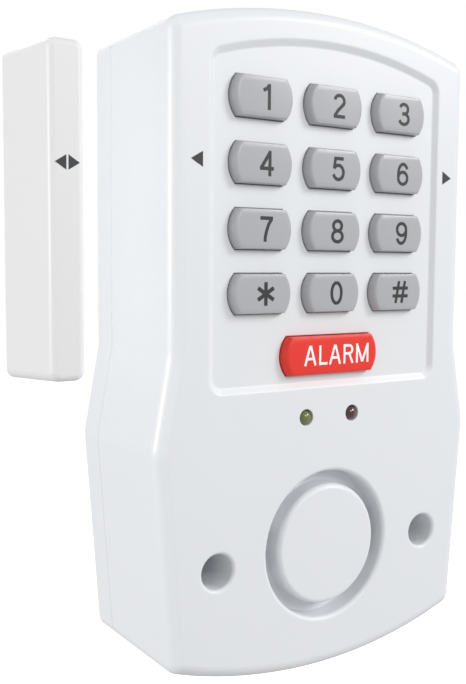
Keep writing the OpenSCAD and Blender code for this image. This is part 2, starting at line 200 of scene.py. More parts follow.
# the side lamp sees past the magnet piece, so that piece throws no shadow on the housing's side
def seePast(name, pieces):
    group = bpy.data.collections.new(name + "_sees_past")
    for piece in pieces:
        group.objects.link(piece)
    for item in group.collection_objects:
        item.light_linking.link_state = "EXCLUDE"
    bpy.data.objects[name].light_linking.blocker_collection = group


def feed(tree, shader, socket, value):
    tree.links.new(value.socket, shader.inputs[socket])


makeCamera()
makeStudio()
print("studio ready")


# starts a material and returns it with its tree, its shader and a vector of places in millimetres
def newFinish(name, color, roughness, metallic=0.0, fixed=None):
    mat = bpy.data.materials.new(name)
    mat.use_nodes = True
    tree = mat.node_tree
    shader = tree.nodes["Principled BSDF"]
    shader.inputs["Base Color"].default_value = color + (1,)
    shader.inputs["Roughness"].default_value = roughness
    shader.inputs["Metallic"].default_value = metallic
    for socket, value in (fixed or {}).items():
        shader.inputs[socket].default_value = value
    metres = add(tree, "ShaderNodeTexCoord", output="Object")
    places = add(tree, "ShaderNodeVectorMath", {"operation": "SCALE"}, {0: metres, "Scale": 1 / mm})
    return mat, tree, shader, places


def noise(tree, places, scale, detail=2.0):
    return add(tree, "ShaderNodeTexNoise", None, {"Vector": places, "Scale": scale, "Detail": detail})


def blendColors(tree, factor, first, second):
    return add(tree, "ShaderNodeMix", {"data_type": "RGBA"}, {0: factor, 6: first, 7: second}, output=2)


def tint(tree, shader, factor, first, second):
    feed(tree, shader, "Base Color", blendColors(tree, factor, first, second))


def bumps(tree, shader, height, distance, strength=1.0):
    bump = add(tree, "ShaderNodeBump", None,
               {"Height": height, "Distance": distance * mm, "Strength": strength})
    feed(tree, shader, "Normal", bump)


def times(color, factor):
    return tuple(min(1.0, c * factor) for c in color) + (1,)


# moulded plastic: a fine spark-eroded grain, faint flow marks and a slightly uneven sheen
def mouldedPlastic(name, color, roughness, grain=0.02, variation=0.03, fixed=None):
    mat, tree, shader, places = newFinish(name, color, roughness, 0.0, fixed)
    flow = noise(tree, places, 0.05, 3.0)
    fine = noise(tree, places, 3.2, 2.0)
    tint(tree, shader, flow, times(color, 1 - variation), times(color, 1))
    feed(tree, shader, "Roughness", roughness - 0.05 + flow * 0.06 + fine * 0.05)
    bumps(tree, shader, fine, grain)
    return mat


def printedInk(name, color):
    mat, tree, shader, places = newFinish(name, color, 0.5)
    dots = noise(tree, places, 9.0, 1.0)
    tint(tree, shader, dots, times(color, 1), times(color, 1.2))
    feed(tree, shader, "Roughness", 0.42 + dots * 0.16)
    bumps(tree, shader, dots, 0.01)
    return mat


# an unlit light's coloured epoxy, uneven deep inside and glossy at its skin
def castEpoxy(name, color, deep):
    skin = {"Coat Weight": 1.0, "Coat Roughness": 0.03, "IOR": 1.52}
    mat, tree, shader, places = newFinish(name, color, 0.1, 0.0, skin)
    swirl = noise(tree, places, 0.9, 1.0)
    tint(tree, shader, swirl, deep + (1,), color + (1,))
    feed(tree, shader, "Roughness", 0.06 + swirl * 0.08)
    return mat


# plated or rolled metal with faint drawn lines
def metalFinish(name, color, roughness, scratches=0.02, stretch=(1, 1, 1)):
    mat, tree, shader, places = newFinish(name, color, roughness, 1.0)
    drawn = add(tree, "ShaderNodeMapping", None, {"Vector": places, "Scale": stretch})
    lines = noise(tree, drawn, 1.6, 4.0)
    dull = noise(tree, places, 0.35, 2.0)
    tint(tree, shader, dull, times(color, 0.8), times(color, 1))
    feed(tree, shader, "Roughness", roughness - 0.08 + lines * 0.12 + dull * 0.08)
    bumps(tree, shader, lines, scratches)
    return mat


def rubberFinish(name, color, roughness=0.7, pore=5.0, depth=0.03):
    mat, tree, shader, places = newFinish(name, color, roughness)
    cloud = noise(tree, places, 0.3, 3.0)
    pores = noise(tree, places, pore, 2.0)
    tint(tree, shader, cloud, times(color, 0.88), times(color, 1))
    feed(tree, shader, "Roughness", roughness - 0.08 + pores * 0.16)
    bumps(tree, shader, pores, depth)
    return mat


# soft foam: open cells of two sizes, with painted shade darkening each cell towards its deepest middle
def foamFinish(name, color):
    mat, tree, shader, places = newFinish(name, color, 0.9)
    cells = add(tree, "ShaderNodeTexVoronoi", None, {"Vector": places, "Scale": 3.0})
    small = add(tree, "ShaderNodeTexVoronoi", None, {"Vector": places, "Scale": 7.5})
    depth = cells * 0.7 + small * 0.3
    # painted shade: the colour darkens with the cells' depth
    tint(tree, shader, depth, times(color, 0.55), times(color, 1))
    feed(tree, shader, "Roughness", 0.8 + depth * 0.15)
    bumps(tree, shader, depth, 0.15)
    return mat


# solder mask with copper tracks under it and glass weave deeper down
def boardFinish(name, mask, copper):
    mat, tree, shader, places = newFinish(name, mask, 0.3, 0.0, {"Coat Weight": 0.5, "Coat Roughness": 0.2})
    turned = add(tree, "ShaderNodeMapping", None, {"Vector": places, "Scale": (1, 0, 1)})
    blocks = add(tree, "ShaderNodeTexVoronoi", {"distance": "MANHATTAN", "feature": "F1"},
                 {"Vector": turned, "Scale": 0.16, "Randomness": 0.7})
    rings = (blocks * 14.0).math("FRACT")
    track = rings.math("GREATER_THAN", 0.62)
    across, upright = [add(tree, "ShaderNodeTexWave", {"bands_direction": way}, {"Vector": places, "Scale": 1.3})
                       for way in "XZ"]
    weave = (across + upright) * 0.5
    base = blendColors(tree, weave, times(mask, 0.85), times(mask, 1))
    tint(tree, shader, track, base, copper + (1,))
    feed(tree, shader, "Roughness", 0.26 + weave * 0.1)
    bumps(tree, shader, track, 0.03)
    return mat


# a printed sleeve with a copper-coloured band at one end of each cell, told by the height along Z
def cellSleeve(name, color, band, bandLow, bandHigh):
    mat, tree, shader, places = newFinish(name, color, 0.3, 0.0, {"Coat Weight": 0.6, "Coat Roughness": 0.15})
    height = add(tree, "ShaderNodeSeparateXYZ", None, {"Vector": places}, output="Z")
    inBand = height.math("GREATER_THAN", bandLow) * height.math("LESS_THAN", bandHigh)
    scuffs = noise(tree, places, 0.8, 5.0)
    body = blendColors(tree, scuffs, times(color, 0.8), times(color, 1.2))
    tint(tree, shader, inBand, body, band + (1,))
    feed(tree, shader, "Metallic", inBand * 0.7)
    feed(tree, shader, "Roughness", 0.24 + scuffs * 0.16)
    bumps(tree, shader, scuffs, 0.02)
    return mat


# glazed or fired ceramic and sintered magnets: specks in a dense body
def specked(name, color, speck, roughness, size, metallic=0.0):
    mat, tree, shader, places = newFinish(name, color, roughness, metallic)
    grains = add(tree, "ShaderNodeTexVoronoi", None, {"Vector": places, "Scale": size}, output="Color")
    pick = add(tree, "ShaderNodeSeparateColor", None, {"Color": grains}).math("GREATER_THAN", 0.8)
    cloud = noise(tree, places, 0.4, 3.0)
    body = blendColors(tree, cloud, times(color, 0.9), times(color, 1))
    tint(tree, shader, pick * 0.6, body, speck + (1,))
    feed(tree, shader, "Roughness", roughness - 0.06 + cloud * 0.12)
    bumps(tree, shader, pick * 0.5 + cloud * 0.5, 0.03)
    return mat


def clearGlass(name, color):
    mat, tree, shader, places = newFinish(name, color, 0.04, 0.0, {"Transmission Weight": 0.9, "IOR": 1.47})
    smear = noise(tree, places, 0.5, 3.0)
    feed(tree, shader, "Roughness", 0.02 + smear * 0.06)
    bumps(tree, shader, smear, 0.01)
    return mat


whiteAbs = mouldedPlastic("white_abs", (0.79, 0.81, 0.83), 0.38, 0.016, 0.015)
# the magnet piece's white plastic in its own neutral tone, made a little darker than the housing's as painted
# shade on its front
shadedMagnetAbs = mouldedPlastic("magnet_abs", (0.78, 0.78, 0.78), 0.42, 0.016, 0.015)
keyGrey = mouldedPlastic("key_grey", (0.445, 0.45, 0.47), 0.33, 0.02, 0.04)
alarmRed = mouldedPlastic("alarm_red", (0.84, 0.036, 0.022), 0.36, 0.016, 0.05)
chamberGrey = mouldedPlastic("chamber_abs", (0.62, 0.63, 0.64), 0.5, 0.03, 0.06)
chipBlack = mouldedPlastic("chip_epoxy", (0.03, 0.03, 0.032), 0.55, 0.03, 0.2)
canSleeve = mouldedPlastic("capacitor_sleeve", (0.03, 0.04, 0.09), 0.35, 0.01, 0.2)
componentTan = specked("chip_ceramic", (0.44, 0.33, 0.2), (0.6, 0.5, 0.36), 0.5, 6.0)
darkInk = printedInk("dark_ink", (0.022, 0.024, 0.027))
whiteInk = printedInk("white_ink", (0.88, 0.87, 0.86))
domeRubber = rubberFinish("dome_silicone", (0.62, 0.62, 0.6), 0.6)
carbon = rubberFinish("carbon_pill", (0.018, 0.018, 0.02), 0.6, 9.0, 0.02)
boardGreen = boardFinish("solder_mask", (0.012, 0.13, 0.055), (0.05, 0.28, 0.12))
ferrite = specked("ferrite_core", (0.05, 0.048, 0.047), (0.09, 0.085, 0.08), 0.6, 5.0)
magnetBlack = specked("sintered_magnet", (0.09, 0.09, 0.095), (0.16, 0.16, 0.17), 0.5, 4.0, 0.3)
piezoWhite = specked("piezo_glaze", (0.74, 0.72, 0.66), (0.6, 0.58, 0.5), 0.4, 3.0)
padFoam = foamFinish("pad_foam", (0.5, 0.5, 0.5))
tinPlate = metalFinish("tin_plate", (0.72, 0.72, 0.7), 0.34, 0.01)
springSteel = metalFinish("spring_steel", (0.6, 0.6, 0.6), 0.3, 0.02, (0.2, 0.2, 2))
screwZinc = metalFinish("screw_zinc", (0.62, 0.63, 0.65), 0.36, 0.03)
brass = metalFinish("piezo_brass", (0.78, 0.56, 0.25), 0.32, 0.02, (0.2, 1, 2))
copper = metalFinish("enamelled_copper", (0.62, 0.27, 0.12), 0.3, 0.01)
redWire = rubberFinish("red_wire", (0.55, 0.03, 0.02), 0.45)
blackWire = rubberFinish("black_wire", (0.02, 0.02, 0.022), 0.45)
reedGlass = clearGlass("reed_glass", (0.85, 0.95, 0.92))
print("finishes ready")


# rounds the corners of a closed outline, or the inner corners of an open profile
def rounded(points, radii, steps=6):
    out = []
    count = len(points)
    for i, p in enumerate(points):
        if radii[i] <= 0:
            out.append(tuple(p))
            continue
        corner = Vector(p)
        before = (Vector(points[i - 1]) - corner).normalized()
        after = (Vector(points[(i + 1) % count]) - corner).normalized()
        half = before.angle(after) / 2
        centre = corner + (before + after).normalized() * radii[i] / math.sin(half)
        start = corner + before * radii[i] / math.tan(half) - centre
        end = corner + after * radii[i] / math.tan(half) - centre
        for k in range(steps + 1):
            spoke = (start * (steps - k) + end * k).normalized() * radii[i]
            out.append(tuple(centre + spoke))
    return out


def roundedBox(low, high, soft, steps=4):
    corners = [(low[0], low[1]), (high[0], low[1]), (high[0], high[1]), (low[0], high[1])]
    return rounded(corners, [soft] * 4, steps)


# adds the left half to a right-hand half that runs from the top centre to the bottom centre
def mirrorOutline(half, radii):
    points = half + [(-x, z) for x, z in half[-2:0:-1]]
    return points, radii + radii[-2:0:-1]


# an outline's two coordinates and its height as a place, for a shape that stands along Y or along Z
def spot(along, u, v, height):
    return (u, height, v) if along == "y" else (u, v, height)


# puts a mesh in millimetres into the scene as a named piece in metres
def newPiece(name, bm, smooth=40):
    bmesh.ops.recalc_face_normals(bm, faces=bm.faces)
    bmesh.ops.scale(bm, vec=(mm, mm, mm), verts=bm.verts)
    mesh = bpy.data.meshes.new(name)
    bm.to_mesh(mesh)
    bm.free()
    piece = bpy.data.objects.new(name, mesh)
    scene.collection.objects.link(piece)
    shade(piece, smooth)
    return piece


def shade(piece, angle):
    mesh = piece.data
    mesh.shade_smooth()
    mesh.set_sharp_from_angle(angle=math.radians(angle))


# a closed solid through rings of (height, outline), all with the same number of points
def loft(bm, rings, along="y"):
    made = [[bm.verts.new(spot(along, u, v, height)) for u, v in points] for height, points in rings]
    count = len(made[0])
    for a, b in zip(made, made[1:]):
        for i in range(count):
            j = (i + 1) % count
            bm.faces.new((a[i], a[j], b[j], b[i]))
    bm.faces.new(made[0])
    bm.faces.new(made[-1][::-1])


# turns a profile of (radius, height) about an axis; a closed profile makes a ring
def lathe(bm, profile, centre=(0, 0), steps=64, closed=False, along="y"):
    rings, (u, v) = [], centre
    turns = [2 * math.pi * k / steps for k in range(steps)]
    for radius, height in profile:
        if radius <= 0:
            rings.append([bm.verts.new(spot(along, u, v, height))])
            continue
        rings.append([bm.verts.new(spot(along, u + radius * math.cos(t), v + radius * math.sin(t), height))
                      for t in turns])
    pairs = list(zip(rings, rings[1:]))
    if closed:
        pairs.append((rings[-1], rings[0]))
    for a, b in pairs:
        for k in range(steps):
            n = (k + 1) % steps
            if len(a) == 1:
                bm.faces.new((a[0], b[n], b[k]))
            elif len(b) == 1:
                bm.faces.new((a[k], a[n], b[0]))
            else:
                bm.faces.new((a[k], a[n], b[n], b[k]))


# a piece lofted through rings
def lofted(name, rings, smooth=40, along="y"):
    bm = bmesh.new()
    loft(bm, rings, along)
    return newPiece(name, bm, smooth)


# a piece turned from a profile
def turned(name, profile, centre=(0, 0), steps=64, smooth=40, closed=False, along="y"):
    bm = bmesh.new()
    lathe(bm, profile, centre, steps, closed, along)
    return newPiece(name, bm, smooth)


# the outline of a strip of even width along a line of points, with square ends
def strip(points, width):
    line = [Vector(p) for p in points]
    left, right = [], []
    for i, p in enumerate(line):
        before, after = line[max(i - 1, 0)], line[min(i + 1, len(line) - 1)]
        steps = [(b - a).normalized() for a, b in ((before, p), (p, after)) if (b - a).length > 0]
        along = sum(steps, Vector((0, 0))).normalized()
        reach = width / 2 / max(0.5, along.dot(steps[0]))
        across = Vector((-along.y, along.x)) * reach
        left.append(tuple(p + across))
        right.append(tuple(p - across))
    return left + right[::-1]


def arc(centre, radii, fromDegrees, toDegrees, steps=14):
    turns = [math.radians(fromDegrees + (toDegrees - fromDegrees) * k / steps) for k in range(steps + 1)]
    return [(centre[0] + radii[0] * math.cos(t), centre[1] + radii[1] * math.sin(t)) for t in turns]


def drop(*pieces):
    for piece in pieces:
        bpy.data.objects.remove(piece)


# cuts a throw-away piece out of another, or joins the two
def carve(piece, cutter, operation="DIFFERENCE"):
    modifier = piece.modifiers.new("carve", "BOOLEAN")
    modifier.operation = operation
    modifier.solver = "EXACT"
    modifier.object = cutter
    bake(piece)
    drop(cutter)


# turns a piece's modifiers into plain mesh
def bake(piece):
    evaluated = piece.evaluated_get(bpy.context.evaluated_depsgraph_get())
    mesh = bpy.data.meshes.new_from_object(evaluated)
    piece.modifiers.clear()
    piece.data = mesh


# merges doubles left by the booleans, sets the sharp edges and evens out the shading
def tidyMesh(piece, angle=32):
    bm = bmesh.new()
    bm.from_mesh(piece.data)
    bmesh.ops.remove_doubles(bm, verts=bm.verts, dist=0.002 * mm)
    bmesh.ops.dissolve_degenerate(bm, edges=bm.edges, dist=0.002 * mm)
    bm.to_mesh(piece.data)
    bm.free()
    shade(piece, angle)
    piece.modifiers.new("even_shading", "WEIGHTED_NORMAL").keep_sharp = True


def paint(piece, *coats):
    piece.data.materials.clear()
    for item in coats:
        piece.data.materials.append(item)
    return piece


def place(piece, body, slot, *nodes):
    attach(piece, body)
    if nodes:
        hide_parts(*nodes)
    return piece


# small metal parts that share one finish
def tinned(piece, *nodes):
    return place(paint(piece, tinPlate), unit, "contact_steel", *nodes)


# a geometry tree with named inputs, each given as a socket type and a default
def newTree(name, **sockets):
    tree = bpy.data.node_groups.new(name, "GeometryNodeTree")
    tree.interface.new_socket("Geometry", in_out="INPUT", socket_type="NodeSocketGeometry")
    for label, (kind, default) in dict(sockets, Finish=("Material", None)).items():
        socket = tree.interface.new_socket(label, in_out="INPUT", socket_type="NodeSocket" + kind)
        if default is not None:
            socket.default_value = default
    tree.interface.new_socket("Geometry", in_out="OUTPUT", socket_type="NodeSocketGeometry")
    source = tree.nodes.new("NodeGroupInput")
    inputs = {s.name: Value(tree, s) for s in source.outputs if s.name}
    return tree, inputs


def endTree(tree, geometry, finishInput):
    solid = add(tree, "GeometryNodeRealizeInstances", None, {"Geometry": geometry})
    solid = add(tree, "GeometryNodeSetMaterial", None, {"Geometry": solid, "Material": finishInput})
    sink = tree.nodes.new("NodeGroupOutput")
    tree.links.new(solid.socket, sink.inputs[0])
    return tree


# runs a geometry tree on a piece with its named inputs and keeps the result as plain mesh
def runTree(piece, tree, **values):
    modifier = piece.modifiers.new(tree.name, "NODES")
    modifier.node_group = tree
    sockets = {s.name: s.identifier for s in tree.interface.items_tree if s.item_type == "SOCKET"}
    for name, value in values.items():
        modifier[sockets[name]] = value
    bake(piece)
    return piece


# a piece that is only points in millimetres, for a tree to work on, each with its own turn if given
def pointsPiece(name, places, turns=None, joined=False):
    mesh = bpy.data.meshes.new(name)
    edges = [(k, k + 1) for k in range(len(places) - 1)] if joined else []
    mesh.from_pydata([tuple(c * mm for c in p) for p in places], edges, [])
    spin = mesh.attributes.new("turn", "FLOAT_VECTOR", "POINT")
    for item, turn in zip(spin.data, turns or [(0, 0, 0)] * len(places)):
        item.vector = turn
    piece = bpy.data.objects.new(name, mesh)
    scene.collection.objects.link(piece)
    return piece


# a copy of a shape at every point, with the point's own turn
def copiesAt(tree, points, shape):
    turn = add(tree, "GeometryNodeInputNamedAttribute", {"data_type": "FLOAT_VECTOR"}, {"Name": "turn"})
    return add(tree, "GeometryNodeInstanceOnPoints", None,
               {"Points": points, "Instance": shape, "Rotation": turn})


def objectShape(tree, source):
    return add(tree, "GeometryNodeObjectInfo", None, {"Object": source}, output="Geometry")


def roundBar(tree, curve, radius, resolution):
    circle = add(tree, "GeometryNodeCurvePrimitiveCircle", {"mode": "RADIUS"},
                 {"Resolution": resolution, "Radius": radius})
    bar = add(tree, "GeometryNodeCurveToMesh", None,
              {"Curve": curve, "Profile Curve": circle, "Fill Caps": True})
    return add(tree, "GeometryNodeSetShadeSmooth", None, {"Geometry": bar})


# copies one object to every point
def copiesTree():
    tree, given = newTree("copies", Part=("Object", None))
    copies = copiesAt(tree, given["Geometry"], objectShape(tree, given["Part"]))
    return endTree(tree, copies, given["Finish"])


# cuts a copy of one object out of a wall at every point of another
def openingsTree():
    tree, given = newTree("openings", Cutter=("Object", None), Places=("Object", None))
    copies = copiesAt(tree, objectShape(tree, given["Places"]), objectShape(tree, given["Cutter"]))
    solid = add(tree, "GeometryNodeRealizeInstances", None, {"Geometry": copies})
    cut = add(tree, "GeometryNodeMeshBoolean", {"operation": "DIFFERENCE", "solver": "EXACT"},
              {0: given["Geometry"], 1: solid})
    return endTree(tree, cut, given["Finish"])


# a wire wound from one radius to another, at every point
def windingTree():
    tree, given = newTree("windings", Wire=("Float", 0.0003), Start=("Float", 0.004), End=("Float", 0.003),
                          Tall=("Float", 0.004), Turns=("Float", 3.5))
    helix = add(tree, "GeometryNodeCurveSpiral", None,
                {"Resolution": 28, "Rotations": given["Turns"], "Start Radius": given["Start"],
                 "End Radius": given["End"], "Height": given["Tall"]})
    wire = roundBar(tree, helix, given["Wire"], 10)
    return endTree(tree, copiesAt(tree, given["Geometry"], wire), given["Finish"])


# a screw with its helical thread, at every point
def screwTree():
    tree, given = newTree("screws", Body=("Object", None), Radius=("Float", 0.001), Length=("Float", 0.01),
                          Pitch=("Float", 0.001), Thread=("Float", 0.0002))
    helix = add(tree, "GeometryNodeCurveSpiral", None,
                {"Resolution": 18, "Rotations": given["Length"] / given["Pitch"], "Height": given["Length"],
                 "Start Radius": given["Radius"], "End Radius": given["Radius"]})
    down = add(tree, "ShaderNodeCombineXYZ", None, {"Z": given["Length"] * -1.0})
    ridge = add(tree, "GeometryNodeTransform", None,
                {"Geometry": roundBar(tree, helix, given["Thread"], 4), "Translation": down})
    shank = objectShape(tree, given["Body"])
    whole = add(tree, "GeometryNodeJoinGeometry", None, {"Geometry": [ridge, shank]})
    return endTree(tree, copiesAt(tree, given["Geometry"], whole), given["Finish"])


# an insulated wire along a line of points, bent round its corners
def wireTree():
    tree, given = newTree("bent_wire", Radius=("Float", 0.0005), Bend=("Float", 0.001))
    line = add(tree, "GeometryNodeMeshToCurve", None, {"Mesh": given["Geometry"]})
    bent = add(tree, "GeometryNodeFilletCurve", {"mode": "POLY"},
               {"Curve": line, "Count": 6, "Radius": given["Bend"], "Limit Radius": True})
    return endTree(tree, roundBar(tree, bent, given["Radius"], 14), given["Finish"])


copying = copiesTree()
cutting = openingsTree()
winding = windingTree()
screwing = screwTree()
wiring = wireTree()
toBack = (-math.pi / 2, 0, 0)  # turns a shape that stands along Z so that its top faces the wall


# cuts one shape out of a piece at every place
def cutAt(piece, coat, cutter, places, turns=None):
    spots = pointsPiece("places", places, turns)
    runTree(piece, cutting, Cutter=cutter, Places=spots, Finish=coat)
    drop(cutter, spots)


housing = {
    "halfWidth": 36.0,
    "hipHalfWidth": 39.2,
    "topZ": housingHigh.z,
    "bottomZ": housingLow.z,
    "flareZ": 40.7,
    "hipZ": 23.2,
    "topArc": 122.0,
    "bottomArc": 106.0,
    "cornerRound": 3.0,
    "hipRound": 9.0,
    "flareRound": 12.0,
    "edgeRound": 2.8,
    "wall": 2.2,
    "seamLip": 0.22,
    "insideY": frontY + 2.2,
}
panel = {
    "halfWidth": 28.3,
    "topZ": 99.7,
    "bottomZ": 33.1,
    "topArc": 90.0,
    "cornerRound": 3.0,
    "depth": 0.8,
    "bevel": 1.2,
    "bevelRound": 0.7,
    "lead": 0.9,  # how far the slope's rounding starts outside the recess
}
keys = {
    "width": 13.7,
    "panicWidth": 23.7,
    "height": 7.48,
    "endRadius": 5.55,
    "gap": 0.12,
    "openingRound": 0.22,
    "columns": (-17.0, 0.0, 17.0),
    "rows": (87.7, 75.7, 63.7, 51.7),
    "panicZ": 39.6,
}
siren = {
    "z": (capLow.z + capHigh.z) / 2,
    "wellRadius": 14.9,
    "capRadius": 12.2,
    "floorY": -26.0,
    "mouthRound": 0.9,
    "rimRound": 1.1,
    "ringWall": 2.4,
    "capWall": 1.6,
    "capFlange": 16.8,
    "slotInner": 12.8,
    "slotOuter": 14.5,
    "slotHalfAngle": 20,
}
holes = {"x": 26.1, "radius": 3.4, "mouthRound": 0.75, "tube": 5.0}
lights = {"x": 5.8, "z": 27.4, "radius": 1.5, "hole": 1.62, "holeRound": 0.15, "flange": 1.9,
          "flangeThick": 1.0, "standOff": 2.0, "pinSpread": 0.635, "pinHalf": 0.25}
bosses = {
    "caseRadius": 3.0,
    "smallRadius": 2.6,
    "pilotRadius": 1.3,
    "case": [(29.0, 96.4), (30.0, -11.3)],
    "board": [(29.3, 86.6), (29.3, 25.2)],
    "siren": [(16.9, 10.95), (-16.9, 10.95), (0.0, -18.3)],
}
markZ = 75.7
recessY = frontY + panel["depth"]


# steps along an arc without the few before its end, which would lie inside the corner's rounding
def steppedTo(last, skipped=3):
    return list(range(last - skipped)) + [last]


def housingOutline(inset=0.0, arcSteps=28):
    h = housing
    x = h["halfWidth"] - inset
    topRadius, lowRadius = h["topArc"] - inset, h["bottomArc"] - inset
    spread = [x * i / arcSteps for i in steppedTo(arcSteps)]
    top = [(s, h["topZ"] - h["topArc"] + math.sqrt(topRadius ** 2 - s * s)) for s in spread]
    low = [(s, h["bottomZ"] + h["bottomArc"] - math.sqrt(lowRadius ** 2 - s * s)) for s in spread]
    half = top + [(x, h["flareZ"]), (h["hipHalfWidth"] - inset, h["hipZ"])] + low[::-1]
    corner = max(h["cornerRound"] - inset, 0.25)
    radii = [0.0] * len(half)
    radii[len(top) - 1] = corner
    radii[len(top)] = h["flareRound"] + inset
    radii[len(top) + 1] = h["hipRound"] - inset
    radii[len(top) + 2] = corner
    return rounded(*mirrorOutline(half, radii), steps=8)


def panelOutline(inset=0.0, arcSteps=24):
    p = panel
    x = p["halfWidth"] - inset
    radius = p["topArc"] - inset
    spread = [x * i / arcSteps for i in steppedTo(arcSteps)]
    top = [(s, p["topZ"] - p["topArc"] + math.sqrt(radius ** 2 - s * s)) for s in spread]
    low = p["bottomZ"] + inset
    half = top + [(x, low), (0.0, low)]
    radii = [0.0] * len(half)
    radii[len(top) - 1] = radii[len(top)] = max(p["cornerRound"] - inset, 0.5)
    return rounded(*mirrorOutline(half, radii), steps=8)


# a key from the front: straight top and bottom, bulging ends; squeeze narrows it, pinch lowers it
def keyOutline(width, grow=0.0, endSteps=12, squeeze=0.0, pinch=0.0):
    radius = keys["endRadius"] + grow
    reach = width / 2 - keys["endRadius"]
    tall = keys["height"] / 2 + grow - pinch
    sweep = math.asin(tall / radius)
    end = arc((reach, 0), (radius, radius), math.degrees(sweep), -math.degrees(sweep), endSteps)
    scale = (reach + radius - squeeze) / (reach + radius)
    right = [(x * scale, z) for x, z in end]
    return right + [(-x, z) for x, z in right[::-1]]


# a quarter turn as pairs (1 - sine, 1 - cosine), which round an edge by their radius
def quarter(steps):
    turns = [math.pi / 2 * k / steps for k in range(steps + 1)]
    return [(1 - math.sin(t), 1 - math.cos(t)) for t in turns]


# rings of the outer form from the front plane, whose edge is rounded, to the seam, which has a small lip
def shellRings(frontEdge, backEdge, steps=9):
    radius, lip = housing["edgeRound"], housing["seamLip"]
    rings = [(frontEdge + radius * depth, housingOutline(radius * inset)) for inset, depth in quarter(steps)]
    return rings + [(backEdge - lip, housingOutline()), (backEdge - lip * 0.35, housingOutline(lip * 0.35)),
                    (backEdge, housingOutline(lip))]


# profile of a round hole with a softly rounded mouth, as (radius, y)
def mouthProfile(radius, depth, soft, top=1.0):
    mouth = [(radius + soft * out, frontY + soft * back) for out, back in quarter(6)]
    return [(0, frontY - top), (radius + soft, frontY - top)] + mouth + [(radius, depth), (0, depth)]


def bothSides(places):
    return [(s * x, z) for x, z in places for s in (-1, 1)]


tubePlaces = bothSides([(holes["x"], 0.0)])


def rodTool(radius, yFront, yBack, at, steps=40):
    return turned("rod", [(0, yFront), (radius, yFront), (radius, yBack), (0, yBack)], at, steps)


def blockTool(low, high, soft):
    outline = roundedBox((low[0], low[2]), (high[0], high[2]), soft, 3)
    return lofted("block", [(low[1], outline), (high[1], outline)])


# a key's opening, with its mouth a little rounded
def openingRings(width):
    gap, soft = keys["gap"], keys["openingRound"]
    rings = [(recessY - 0.6, keyOutline(width, gap + soft))]
    rings += [(recessY + soft * back, keyOutline(width, gap + soft * out)) for out, back in quarter(3)]
    return rings + [(housing["insideY"] + 1, keyOutline(width, gap))]


def carveKeyOpenings(shell):
    rows = [(x, 0, z) for x in keys["columns"] for z in keys["rows"]]
    for width, places in ((keys["width"], rows), (keys["panicWidth"], [(0, 0, keys["panicZ"])])):
        cutAt(shell, whiteAbs, lofted("opening", openingRings(width)), places)


def makeHousing():
    shell = lofted("front_shell", shellRings(frontY, seamY))

    # the hollow inside, less the bosses, the tubes and the siren's ring
    inside = housing["insideY"]
    room = housingOutline(housing["wall"])
    hollow = lofted("hollow", [(inside, room), (seamY + 2, room)])
    studs = [(bosses["caseRadius"], seamY - 0.1, at) for at in bothSides(bosses["case"])]
    studs += [(bosses["smallRadius"], boardLow.y, at) for at in bothSides(bosses["board"])]
    studs += [(bosses["smallRadius"], siren["floorY"] + 1.2, at) for at in bosses["siren"]]
    studs += [(holes["tube"], seamY - 0.1, at) for at in tubePlaces]
    studs += [(siren["wellRadius"] + siren["ringWall"], siren["floorY"], (0.0, siren["z"]))]
    for radius, back, at in studs:
        carve(hollow, rodTool(radius, inside - 1, back, at))
    carve(shell, hollow)

    # the keypad's shallow recess, with its soft sloping edge
    p = panel
    slope = rounded([(-p["lead"], 0.0), (0.0, 0.0), (p["bevel"], p["depth"]), (p["bevel"] + 0.8, p["depth"])],
                    [0, p["bevelRound"], p["bevelRound"], 0], steps=4)
    rings = [(frontY - 1.0, panelOutline(-p["lead"]))]
    rings += [(frontY + depth, panelOutline(inset)) for inset, depth in slope[:-1]]
    carve(shell, lofted("recess", rings))
    carveKeyOpenings(shell)

    # siren well, screw tubes and light holes
    well = mouthProfile(siren["wellRadius"], siren["floorY"] + 1, siren["mouthRound"])
    carve(shell, turned("well", well, (0.0, siren["z"]), 144))
    for at in tubePlaces:
        carve(shell, turned("tube", mouthProfile(holes["radius"], seamY + 1, holes["mouthRound"]), at))
    for at in bothSides([(lights["x"], lights["z"])]):
        mouth = mouthProfile(lights["hole"], inside + 1, lights["holeRound"])
        carve(shell, turned("light_hole", mouth, at, 48))
    for kind, end, depth in (("case", seamY, 13), ("board", boardLow.y, 4)):
        for at in bothSides(bosses[kind]):
            carve(shell, rodTool(bosses["pilotRadius"], end - depth, end + 1, at))
    tidyMesh(shell)
    return place(paint(shell, whiteAbs), unit, "housing_white", "front_housing")


makeHousing()
print("front housing ready")


doorLow, doorHigh = cadBox("battery_door")
bay = {
    "low": (doorLow.x - 0.3, doorLow.z - 0.3),
    "high": (doorHigh.x + 0.3, doorHigh.z + 0.3),
    "frontY": -16.6,
    "wall": 1.2,
    "plate": 2.2,
    "ledge": 1.1,
    "rim": 1.8,
    "doorDepth": -doorLow.y,
}
coverHoles = {"post": 4.0, "caseScrew": 1.45, "sinkRadius": 3.0, "sinkDepth": 3.0, "wallScrew": 2.2,
              "chamfer": 0.3, "leadX": 22.2, "leadY": (-13.0, -11.4), "leadHalf": 0.8}


# a hole from the back plane with a chamfered mouth
def backBore(radius, depth, at):
    wide = radius + coverHoles["chamfer"]
    profile = [(0, 1), (wide, 1), (wide, 0), (radius, -coverHoles["chamfer"]), (radius, -depth), (0, -depth)]
    return turned("bore", profile, at, 48)


